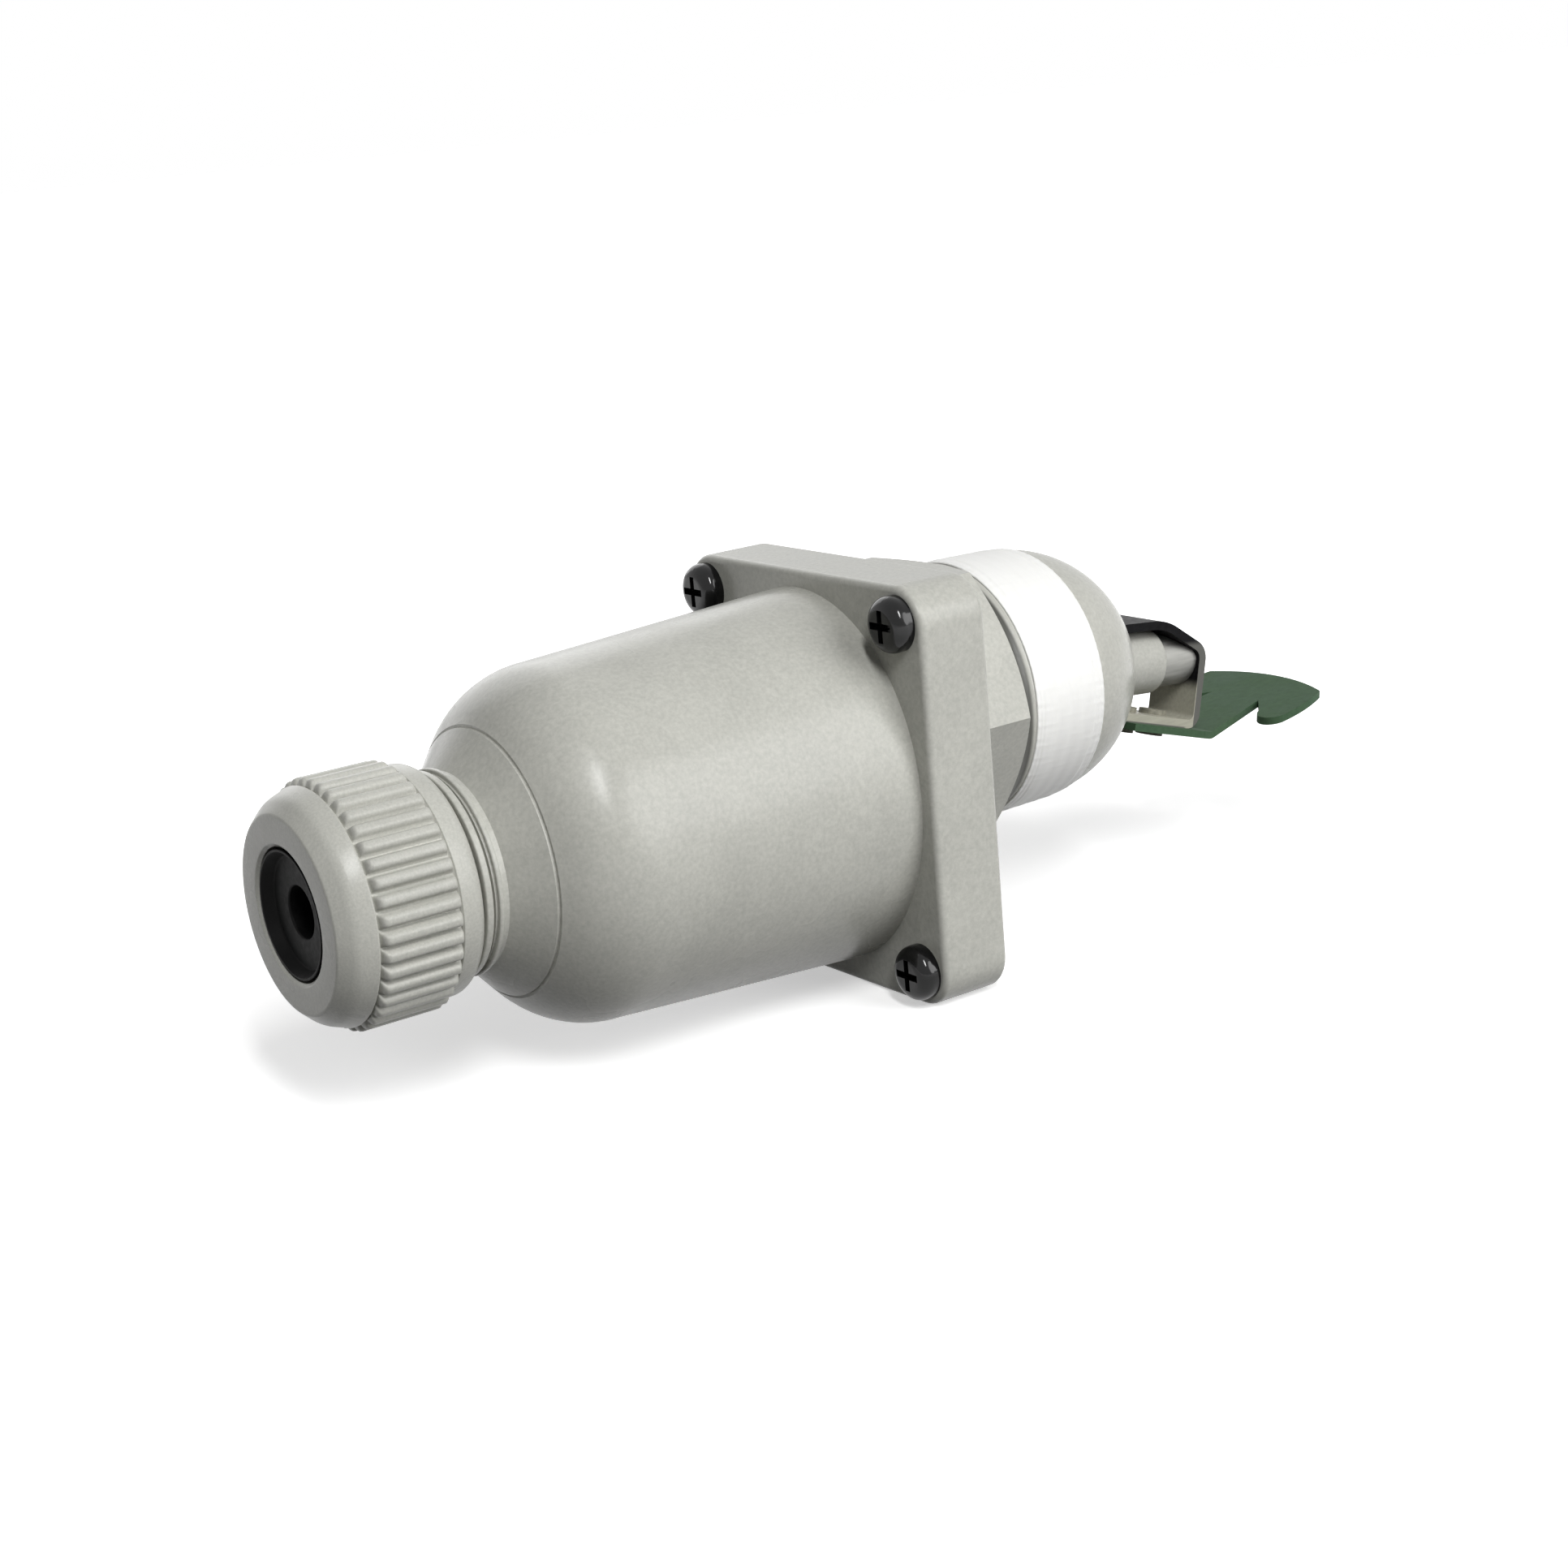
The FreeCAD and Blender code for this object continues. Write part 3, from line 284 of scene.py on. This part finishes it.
def coiled_wire():
    """A circle of the wire carried along a helix: a share of the coil's length sets the turn and the height,
    which eases in and out so that the end turns lie closer, and an angle goes round the wire."""
    share = np.linspace(0, 1, TURN_STEPS * COIL_TURNS + 1)[:, None]
    around = np.linspace(0, 2 * np.pi, WIRE_ROUND, endpoint=False)[None, :]
    turn = 2 * np.pi * COIL_TURNS * share
    eased = share - END_EASE * np.sin(2 * np.pi * share)
    middle = (SPRING_LOW + SPRING_HIGH) / 2
    radius = (SPRING_HIGH[1] - SPRING_LOW[1]) / 2 - WIRE_R + WIRE_R * np.cos(around)
    height = SPRING_LOW[2] + WIRE_R + (SPRING_HIGH[2] - SPRING_LOW[2] - 2 * WIRE_R) * eased
    height = height + WIRE_R * np.sin(around)
    return np.stack([middle[0] + radius * np.cos(turn), middle[1] + radius * np.sin(turn), height], axis=-1)


spring_wire = turned_metal("spring_wire", (0.5, 0.5, 0.49), 0.22, (1.0, 1.0, 0.4))
coil = new_piece("return_coil", coiled_wire(), spring_wire, "housing", looped=False)
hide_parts("return_spring")
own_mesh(coil)


# Stem sleeve: the grey tube pushed over the lever's rod, between the nose and the stirrup.
# The same nylon as the housing, a little darker and smoother, with a rounded outer end.
dress(moulded_plastic("sleeve_grey_moulding", (0.42, 0.42, 0.385), 0.5, 0.36), "stem_sleeve")


# Stirrup: the bent strip from the sleeve's top, down its end plate and back under the rod.
# Steel with a black coat; the lower leaf and the foot of the end plate are bare and tarnished on the
# inside. The sheared edges below the top are bare, and their grey is also a painted highlight where
# they face the lamp.
LEVER_DROOP = math.radians(6.0)
LEVER_PIVOT_X = 1.5 * MM
LEAF_FOOT = (33.1 * MM, -9.1 * MM)
LEAF_RISE = math.atan2(2.6, 14.0)
LEAF_BARE = (-0.50 * MM, -0.38 * MM, 0.80 * MM, 0.95 * MM)
LEAF_END = (-1.4 * MM, -0.6 * MM)
PLATE_OUT = Vector((10.5, 0, -1.2)).normalized()
PLATE_BARE = (-2.4 * MM, -1.6 * MM, -0.52 * MM, -0.42 * MM)
PLATE_BARE_TOP = (-4.6 * MM, -2.6 * MM)
EDGE_TOP = (2.0 * MM, 3.0 * MM)
BARE_STRIP = (0.42, 0.41, 0.34)
# Grey of the bare sheared edges, which is also a painted highlight.
SHEARED_EDGE_AND_HIGHLIGHT = (0.13, 0.13, 0.12)


def product(finish, first, second):
    return finish.add("Math", {0: first, 1: second}, operation="MULTIPLY").outputs["Value"]


stirrup = Finish("stirrup_black_coat")
lever_turn = Matrix.Rotation(-LEVER_DROOP, 3, "Y")
lever_shift = lever_turn @ Vector((-LEVER_PIVOT_X, 0, 0))
level = stirrup.add("Mapping", {"Vector": stirrup.place}, Location=lever_shift, Rotation=(0, -LEVER_DROOP, 0))
leaf_turn = Matrix.Rotation(-LEAF_RISE, 3, "Y")
leaf_shift = leaf_turn @ Vector((-LEAF_FOOT[0], 0, -LEAF_FOOT[1]))
leaf = stirrup.add("Mapping", {"Vector": level.outputs["Vector"]}, Location=leaf_shift)
leaf.inputs["Rotation"].default_value = (0, -LEAF_RISE, 0)
split = stirrup.add("SeparateXYZ", {"Vector": leaf.outputs["Vector"]})
above = ramp_up(stirrup, split.outputs["Z"], LEAF_BARE[0], LEAF_BARE[1])
below = ramp_up(stirrup, split.outputs["Z"], LEAF_BARE[3], LEAF_BARE[2])
short_of_bend = ramp_up(stirrup, split.outputs["X"], LEAF_END[1], LEAF_END[0])
inner_face = product(stirrup, product(stirrup, above, below), short_of_bend)
levelled = stirrup.add("SeparateXYZ", {"Vector": level.outputs["Vector"]})
sideways = stirrup.add("Math", {0: levelled.outputs["Y"]}, operation="ABSOLUTE").outputs["Value"]
half_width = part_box("paddle_stirrup")[1][1]
# Painted highlight, in part: the sheared edges below the top turn grey.
sheared = ramp_up(stirrup, sideways, half_width - 0.10 * MM, half_width - 0.03 * MM)
under_top = ramp_up(stirrup, levelled.outputs["Z"], EDGE_TOP[1], EDGE_TOP[0])
bare_and_lit_edge = product(stirrup, sheared, under_top)
plate_depth = stirrup.add("VectorMath", {0: level.outputs["Vector"]}, operation="DOT_PRODUCT")
plate_depth.inputs[1].default_value = PLATE_OUT
foot_depth = PLATE_OUT.dot(Vector((LEAF_FOOT[0], 0, LEAF_FOOT[1])))
depths = [foot_depth + depth for depth in PLATE_BARE]
near_plate = ramp_up(stirrup, plate_depth.outputs["Value"], depths[0], depths[1])
inside_plate = ramp_up(stirrup, plate_depth.outputs["Value"], depths[3], depths[2])
low_on_plate = ramp_up(stirrup, levelled.outputs["Z"], PLATE_BARE_TOP[1], PLATE_BARE_TOP[0])
plate_face = product(stirrup, product(stirrup, near_plate, inside_plate), low_on_plate)
bare = stirrup.add("Math", {0: inner_face, 1: plate_face}, operation="MAXIMUM").outputs["Value"]
coat, coat_height = stirrup.speckle(0.7, (0.004, 0.004, 0.0045), (0.010, 0.010, 0.011))
strip, strip_height = stirrup.speckle(0.5, [c * 0.8 for c in BARE_STRIP], BARE_STRIP, 4.0, ALONG_X)
coat_and_lit_edges = stirrup.add("MixRGB", {"Color1": coat, "Fac": bare_and_lit_edge}, Color2=(*SHEARED_EDGE_AND_HIGHLIGHT, 1)).outputs["Color"]
both = stirrup.add("MixRGB", {"Color1": coat_and_lit_edges, "Color2": strip, "Fac": bare})
stirrup.join(both.outputs["Color"], "Base Color")
stirrup.join(stirrup.between(coat_height, 0.3, 0.42), "Roughness")
stirrup.even("Specular IOR Level", 0.04)
stirrup.grain(strip_height, 0.1, 0.02)
dress(stirrup.material, "paddle_stirrup")


# Paddle and its rivets: the sheet that the water pushes, riveted under the stirrup's lower leaf.
# Thin steel with a dull green coat, a little uneven; the rivets are stainless and snapped flat.
paddle = Finish("paddle_green_coat")
green, green_height = paddle.speckle(0.9, (0.044, 0.084, 0.047), (0.057, 0.106, 0.060), 5.0)
cloud, broad = paddle.speckle(6.0, (0.85, 0.9, 0.88), (1.1, 1.05, 1.0), 2.0)
paddle.join(paddle.times(green, cloud), "Base Color")
paddle.join(paddle.between(broad, 0.46, 0.6), "Roughness")
paddle.even("Specular IOR Level", 0.1)
paddle.grain(green_height, 0.2, 0.03)
dress(paddle.material, "paddle")
dress(dull_skin("tarnished_rivets", (0.16, 0.155, 0.125), 0.55, 0.5, 0.15), "paddle_rivets")


# Sealing tape: thin white film wound several times round the pipe thread and drawn into its turns.
# Unsintered film with a soft shine; its laps shift sideways, and its edges are a little loose.
TAPE_LEFT, TAPE_RIGHT = (corner[0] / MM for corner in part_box("thread_tape"))
TAPE_BED_R = 16.72
TAPE_SKIN_R = (17.08, 16.86)
TAPE_ROUND = 600
TAPE_ACROSS = 72
THREAD_SHOW = 0.02
EDGE_INSET = 0.06
EDGE_WANDER = 0.05
LAP_STEP = 0.045
LAP_SOFT = 0.06
LAP_WANDER = 0.25
LAP_EDGES = (0.55, 1.35, 9.9, 10.9)
TAPE_MIDDLE = 6


def wound_tape():
    """A closed band for an angle round the thread and a share across the tape. The outer skin follows the
    thread's taper, rises by one step at each lap's edge, sags between the thread's turns (a cosine along the
    helix), and has fine cross folds near its edges (sines of the angle); the inner skin is a cylinder."""
    around = np.linspace(0, 2 * np.pi, TAPE_ROUND, endpoint=False)[:, None]
    across = np.linspace(0, 1, TAPE_ACROSS)[None, :]
    wander = 0.6 * np.sin(2 * around + 1) + 0.3 * np.sin(5 * around) + 0.12 * np.sin(13 * around + 2)
    left = TAPE_LEFT + EDGE_INSET + EDGE_WANDER * wander
    right = TAPE_RIGHT - EDGE_INSET + EDGE_WANDER * np.roll(wander, TAPE_ROUND // 3, axis=0)
    along = left + (right - left) * across
    laps = np.zeros_like(along)
    for number, edge in enumerate(LAP_EDGES):
        shifted = np.roll(wander, number * TAPE_ROUND // 5, axis=0)
        past_edge = along - TAPE_LEFT - edge - LAP_WANDER * shifted
        laps += LAP_STEP * np.tanh(past_edge / LAP_SOFT) * (1 if edge < TAPE_MIDDLE else -1)
    turns = THREAD_SHOW * np.cos(2 * np.pi * along / THREAD_PITCH - around)
    near_edge = np.abs(2 * across - 1) ** 4
    folds = 0.016 * np.sin(71 * around + 5 * across) + 0.012 * np.sin(113 * around - 7 * across + 1)
    outer = np.interp(across, (0, 1), TAPE_SKIN_R) + laps
    outer = outer + turns * (1 - near_edge) + folds * (0.3 + 0.7 * near_edge)
    inner = np.full_like(outer, TAPE_BED_R)
    radius = np.hstack([outer, inner[:, ::-1]])
    along = np.hstack([along, along[:, ::-1]])
    return np.stack([along, radius * np.cos(around), radius * np.sin(around)], axis=-1)


film = Finish("white_tape_film")
strands, strand_height = film.speckle(0.7, (0.84, 0.84, 0.82), (0.87, 0.87, 0.85), 4.0, (1.0, 0.25, 0.25))
film.join(strands, "Base Color")
film.join(film.between(strand_height, 0.34, 0.46), "Roughness")
film.even("Subsurface Weight", 0.15)
film.even("Subsurface Radius", (0.6 * MM, 0.6 * MM, 0.55 * MM))
film.grain(strand_height, 0.12, 0.03)
tape = new_piece("tape_winding", wound_tape(), film.material, "housing")
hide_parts("thread_tape")


# Cover gasket: the flat ring between the two flanges, in a groove round the barrel's mouth.
# Cut from black rubber sheet.
dress(black_rubber, "cover_gasket")


# Switch bracket with its screws and nuts: the angle that holds the snap switch behind the partition.
# Zinc-plated steel, folded; the small screws and nuts are plated too.
zinc = turned_metal("zinc_plated_steel", (0.6, 0.6, 0.62), 0.34, (1.0, 0.4, 1.0))
dress(zinc, "switch_bracket", "bracket_screws", "switch_screws", "switch_nuts")


# Snap switch: the black case with its red plunger and three brass terminals.
# Moulded in heat-proof plastic; the terminals are stamped from brass strip and pressed in.
dress(moulded_plastic("switch_black_case", (0.025, 0.025, 0.025), 0.3, 0.45), "switch_case")
dress(moulded_plastic("plunger_red", (0.42, 0.03, 0.025), 0.3, 0.3), "switch_plunger")
dress(turned_metal("stamped_brass", (0.66, 0.5, 0.24), 0.26, (0.2, 1.0, 1.0)), "switch_terminals")


# Bell cover: the flanged barrel that closes over the switch, with its shoulder, cone and threaded neck.
# The same grey moulding as the body, from a smooth mould with a scored line round the cone.
dress(housing_grey, "cover")


# Cover screws: four pan heads with a cross recess, through the cover's flange into the body's.
# Blackened steel, glossy from the oil they were dipped in.
screw_black = dull_skin("oiled_black_steel", (0.002, 0.002, 0.0022), 0.11, 1.2, 0.35)
dress(screw_black, "cover_screws")


# Neck rings: the two thin rings round the neck, between the cone and the gland nut.
# Moulded with the cover; they stop the nut and keep dirt out of its thread.
GLAND_LOW, GLAND_HIGH = (np.array(corner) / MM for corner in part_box("gland_nut"))
GLAND_Z = (GLAND_LOW[2] + GLAND_HIGH[2]) / 2
RING_R = 12.5
RING_FOOT_R = 11.1
RING_ROUND = 0.2
RINGS = ((-84.5, -83.6), (-82.85, -82.2))


def rounded(corners, steps=6):
    """A line through corners given as place along the axis, radius and rounding: an inner corner becomes
    an arc that is tangent to both of its sides."""
    ends = np.array([corner[:2] for corner in corners], dtype=float)
    line = [ends[:1]]
    for before, here, after, corner in zip(ends[:-2], ends[1:-1], ends[2:], corners[1:-1]):
        back = (before - here) / np.linalg.norm(before - here)
        ahead = (after - here) / np.linalg.norm(after - here)
        half = np.arccos(np.clip(back @ ahead, -1, 1)) / 2
        centre = here + (back + ahead) / np.linalg.norm(back + ahead) * corner[2] / np.sin(half)
        first = here + back * corner[2] / np.tan(half) - centre
        last = here + ahead * corner[2] / np.tan(half) - centre
        share = np.linspace(0, 1, steps)[:, None]
        spoke = first * (1 - share) + last * share
        line.append(centre + spoke / np.linalg.norm(spoke, axis=1, keepdims=True) * corner[2])
    return np.vstack(line + [ends[-1:]])


def turned_shape(outline, rise=0.0, count=256):
    """An outline of places and radii carried round the gland's axis; rise is added to the radius."""
    around = np.linspace(0, 2 * np.pi, count, endpoint=False)[:, None]
    radius = outline[None, :, 1] + rise
    along = outline[None, :, 0] + 0 * around
    return np.stack([along, radius * np.cos(around), GLAND_Z + radius * np.sin(around)], axis=-1)


for number, (start, end) in enumerate(RINGS):
    ring_outline = rounded([
        (start, RING_FOOT_R, 0),
        (start, RING_R, RING_ROUND),
        (end, RING_R, RING_ROUND),
        (end, RING_FOOT_R, 0),
    ])
    ring_shape = turned_shape(ring_outline)
    new_piece("neck_ring_%d" % number, ring_shape, housing_grey, "housing")


# Gland seal and slip ring: the rubber that grips the cable, and the washer that lets the nut turn on it.
# The seal is black rubber with a sunk flat face inside a rim; the ring is a pale slippery plastic.
SEAL_RIM_X = GLAND_LOW[0] + 0.2
SEAL_FACE_X = GLAND_LOW[0] + 1.6
SEAL_SHOULDER_X = GLAND_LOW[0] + 4.1
SEAL_END_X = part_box("gland_seal")[1][0] / MM
CABLE_R = 3.1
SEAL_FACE_R = 6.7
SEAL_RIM_R = (7.35, 7.65)
SEAL_BODY_R = 8.45
seal_outline = rounded([
    (SEAL_END_X, CABLE_R, 0),
    (SEAL_FACE_X, CABLE_R, 0.25),
    (SEAL_FACE_X, SEAL_FACE_R, 0.3),
    (SEAL_RIM_X, SEAL_RIM_R[0], 0.12),
    (SEAL_RIM_X, SEAL_RIM_R[1], 0.1),
    (SEAL_SHOULDER_X, SEAL_RIM_R[1], 0.1),
    (SEAL_SHOULDER_X + 0.85, SEAL_BODY_R, 0.2),
    (SEAL_END_X, SEAL_BODY_R, 0),
])
seal_rubber = dull_skin("gland_seal_rubber", (0.003, 0.003, 0.003), 0.5, 0.8, 0.06)
seal = new_piece("cable_seal", turned_shape(seal_outline), seal_rubber, "housing")
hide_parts("gland_seal")
dress(moulded_plastic("slip_ring_plastic", (0.6, 0.6, 0.57), 0.4, 0.35), "gland_slip_ring")


# Gland nut: the nut with half-round grip ribs and a rounded nose, which screws on and squeezes the seal.
# Moulded in the same grey nylon, a little glossier from handling.
RIB_COUNT = 42
RIB_STEPS = 14
GRIP_ROWS = 30
RIB_SHARE = 0.82
RIB_HEIGHT = 1.3
RIB_FRONT = GLAND_LOW[0] + 4.4
RIB_REAR = GLAND_HIGH[0] - 4.0
RIB_END = (0.7, 0.5)
NUT_BORE_R = 11.5
NUT_SHOULDER_X = GLAND_LOW[0] + 3.2
MOUTH_R = 7.95
NOSE_FACE_R = (8.35, 11.7)
NOSE_EDGE_R = (13.35, 14.2)
VALLEY_FLOOR_R = 13.6
COLLAR_R = (14.05, 13.85)
NUT_REAR_X = GLAND_HIGH[0] - 0.65
nut_nose = rounded([
    (NUT_SHOULDER_X, NUT_BORE_R, 0),
    (NUT_SHOULDER_X, MOUTH_R, 0.05),
    (GLAND_LOW[0] + 0.35, MOUTH_R, 0.1),
    (GLAND_LOW[0], NOSE_FACE_R[0], 0.25),
    (GLAND_LOW[0], NOSE_FACE_R[1], 0.6),
    (GLAND_LOW[0] + 1.75, NOSE_EDGE_R[0], 3.4),
    (RIB_FRONT - 0.3, NOSE_EDGE_R[1], 0.2),
    (RIB_FRONT - 0.05, VALLEY_FLOOR_R, 0),
])
grip_share = (1 - np.cos(np.linspace(0, np.pi, GRIP_ROWS))) / 2
grip_places = RIB_FRONT + (RIB_REAR - RIB_FRONT) * grip_share
nut_grip = np.stack([grip_places, np.full(GRIP_ROWS, VALLEY_FLOOR_R)], axis=1)
nut_collar = rounded([
    (RIB_REAR + 0.05, VALLEY_FLOOR_R, 0),
    (RIB_REAR + 0.25, COLLAR_R[0], 0.15),
    (NUT_REAR_X, COLLAR_R[1], 1.4),
    (NUT_REAR_X, NUT_BORE_R, 0.05),
    (NUT_REAR_X - 0.4, NUT_BORE_R, 0),
])


def grip_ribs():
    """Rise of the ribs over the grip's rows for an angle: a flattened half ellipse across each rib, with an
    end that rounds off as a quarter ellipse at the front and at the rear."""
    front = np.clip((RIB_FRONT + RIB_END[0] - grip_places) / RIB_END[0], 0, 1)
    rear = np.clip((grip_places - RIB_REAR + RIB_END[1]) / RIB_END[1], 0, 1)
    height = RIB_HEIGHT * np.sqrt(1 - front ** 2) * np.sqrt(1 - rear ** 2)
    across = 2 * (np.arange(RIB_COUNT * RIB_STEPS) / RIB_STEPS % 1) - 1
    section = np.clip(1 - np.abs(across / RIB_SHARE) ** 3, 0, 1) ** 0.5
    return section[:, None] * height[None, :]


nut_outline = np.vstack([nut_nose, nut_grip, nut_collar])
rib_rise = np.zeros((RIB_COUNT * RIB_STEPS, len(nut_outline)))
rib_rise[:, len(nut_nose):len(nut_nose) + GRIP_ROWS] = grip_ribs()
nut_shape = turned_shape(nut_outline, rib_rise, RIB_COUNT * RIB_STEPS)
nut_grey = moulded_plastic("gland_grey_moulding", (0.47, 0.47, 0.43), 0.3, 0.28)
nut = new_piece("ribbed_gland_nut", nut_shape, nut_grey, "nut")
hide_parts("gland_nut")


# Floor: a plain white sheet under the flange's lower edge, which takes the object's shadow.
# Seen directly or in a reflection it is white, and away from the object it runs into the surround.
FLOOR_HALF = 6.0
FLOOR_GAP = 0.05 * MM
FLOOR_SEEN = 0.88
FLOOR_BOUNCE = 0.06
GLOW_REACH = (0.03, 0.13)
GLOW = (0.48, 1.0)
GLOW_SHIFT = (0.015, 0, 0)
GLOW_STRETCH = (0.6, 1, 0)


def seen_directly(add):
    """One for a ray from the camera, or by way of a shiny or clear surface, and nothing for other light."""
    path = add("LightPath")
    straight_or_shiny = {0: path.outputs["Is Camera Ray"], 1: path.outputs["Is Glossy Ray"]}
    shiny = add("Math", straight_or_shiny, operation="MAXIMUM")
    shiny_or_clear = {0: shiny.outputs["Value"], 1: path.outputs["Is Transmission Ray"]}
    return add("Math", shiny_or_clear, operation="MAXIMUM").outputs["Value"]


floor_z = cad_box[0][2] - FLOOR_GAP
corners = FLOOR_HALF * np.array([(-1, -1), (1, -1), (1, 1), (-1, 1)])
floor_mesh = bpy.data.meshes.new("studio_floor")
floor_mesh.from_pydata([(x, y, floor_z) for x, y in corners.tolist()], [], [(0, 1, 2, 3)])
floor = bpy.data.objects.new("studio_floor", floor_mesh)
bpy.context.scene.collection.objects.link(floor)
paint = Finish("white_floor")
paint.even("Roughness", 0.9)
paint.even("Specular IOR Level", 0.1)
seen = seen_directly(paint.add)
tone = paint.add("MapRange", {"Value": seen}, **{"To Min": FLOOR_BOUNCE, "To Max": FLOOR_SEEN})
paint.join(tone.outputs["Result"], "Base Color")
under = paint.add("Mapping", {"Vector": paint.place}, Location=GLOW_SHIFT, Scale=GLOW_STRETCH)
from_object = paint.add("VectorMath", {0: under.outputs["Vector"]}, operation="LENGTH").outputs["Value"]
glow = paint.add("MapRange", {"Value": from_object}, interpolation_type="SMOOTHSTEP")
for key, value in zip(("From Min", "From Max", "To Min", "To Max"), GLOW_REACH + GLOW):
    glow.inputs[key].default_value = value
white = paint.add("Emission", {"Strength": product(paint, glow.outputs["Result"], seen)}, Color=(1, 1, 1, 1))
whole = paint.add("AddShader", {0: paint.shader.outputs["BSDF"], 1: white.outputs["Emission"]})
paint.tree.links.new(whole.outputs["Shader"], paint.surface.inputs["Surface"])
floor_mesh.materials.append(paint.material)


# Studio light: a broad lamp in front to the right, a tall narrow one to the left and higher, a weak broad one
# behind, and an even white surround, which is white where it is seen and gives shaded sides a weaker light.
LAMP_AIM = Vector((-0.03, 0.0, -0.005))
LAMPS = {
    "broad_lamp": {"bearing": -66, "rise": 23, "size": (0.75, 0.75), "power": 7.0},
    "tall_lamp": {"bearing": -113, "rise": 45, "size": (0.1, 0.45), "power": 4.5},
    "back_lamp": {"bearing": 80, "rise": 25, "size": (0.8, 0.8), "power": 2.0},
}
LAMP_AWAY = 0.95
SURROUND_LIGHT = 0.12

for name, values in LAMPS.items():
    lamp = bpy.data.lights.new(name, "AREA")
    lamp.shape = "ELLIPSE"
    lamp.size, lamp.size_y = values["size"]
    lamp.energy = values["power"]
    bearing, rise_angle = math.radians(values["bearing"]), math.radians(values["rise"])
    level_reach = math.cos(rise_angle)
    towards = Vector((level_reach * math.cos(bearing), level_reach * math.sin(bearing), math.sin(rise_angle)))
    lamp_stand = bpy.data.objects.new(name, lamp)
    lamp_stand.location = LAMP_AIM + LAMP_AWAY * towards
    lamp_stand.rotation_euler = (-towards).to_track_quat("-Z", "Y").to_euler()
    bpy.context.scene.collection.objects.link(lamp_stand)

surround = bpy.data.worlds.new("white_surround")
bpy.context.scene.world = surround
surround.use_nodes = True
sky = surround.node_tree.nodes["Background"]
sky.inputs["Color"].default_value = (1, 1, 1, 1)


def add_to_sky(kind, links=None, **values):
    node = surround.node_tree.nodes.new("ShaderNode" + kind)
    for key, value in values.items():
        setattr(node, key, value)
    for key, source in (links or {}).items():
        surround.node_tree.links.new(source, node.inputs[key])
    return node


sky_level = add_to_sky("MapRange", {"Value": seen_directly(add_to_sky)})
sky_level.inputs["To Min"].default_value = SURROUND_LIGHT
surround.node_tree.links.new(sky_level.outputs["Result"], sky.inputs["Strength"])


# Camera: near the gland's end and a little above, as the photograph was taken.
# Its place in millimetres, its turns in degrees and its focal length in pixels were fitted to the circles and
# edges seen there.
CAMERA_PLACE = np.array([-216.90, -265.39, 79.98]) * MM
CAMERA_YAW, CAMERA_PITCH, CAMERA_ROLL = np.radians([34.57, -15.02, -5.06])
CAMERA_FOCAL = 3242.11
IMAGE_WIDTH = 1932

ahead = np.array([
    math.sin(CAMERA_YAW) * math.cos(CAMERA_PITCH),
    math.cos(CAMERA_YAW) * math.cos(CAMERA_PITCH),
    math.sin(CAMERA_PITCH),
])
level_right = np.cross(ahead, [0, 0, 1])
level_right /= np.linalg.norm(level_right)
level_up = np.cross(level_right, ahead)
right = math.cos(CAMERA_ROLL) * level_right + math.sin(CAMERA_ROLL) * level_up
up = -math.sin(CAMERA_ROLL) * level_right + math.cos(CAMERA_ROLL) * level_up
camera = bpy.data.cameras.new("photo_camera")
camera.sensor_width = 36.0
camera.lens = camera.sensor_width * CAMERA_FOCAL / IMAGE_WIDTH
camera.clip_start = 0.01
camera.clip_end = 20
tripod = bpy.data.objects.new("photo_camera", camera)
turned = np.eye(4)
turned[:3] = np.stack([right, up, -ahead, CAMERA_PLACE], axis=1)
tripod.matrix_world = Matrix(turned.tolist())
bpy.context.scene.collection.objects.link(tripod)
bpy.context.scene.camera = tripod
bpy.context.scene.view_settings.view_transform = "Standard"
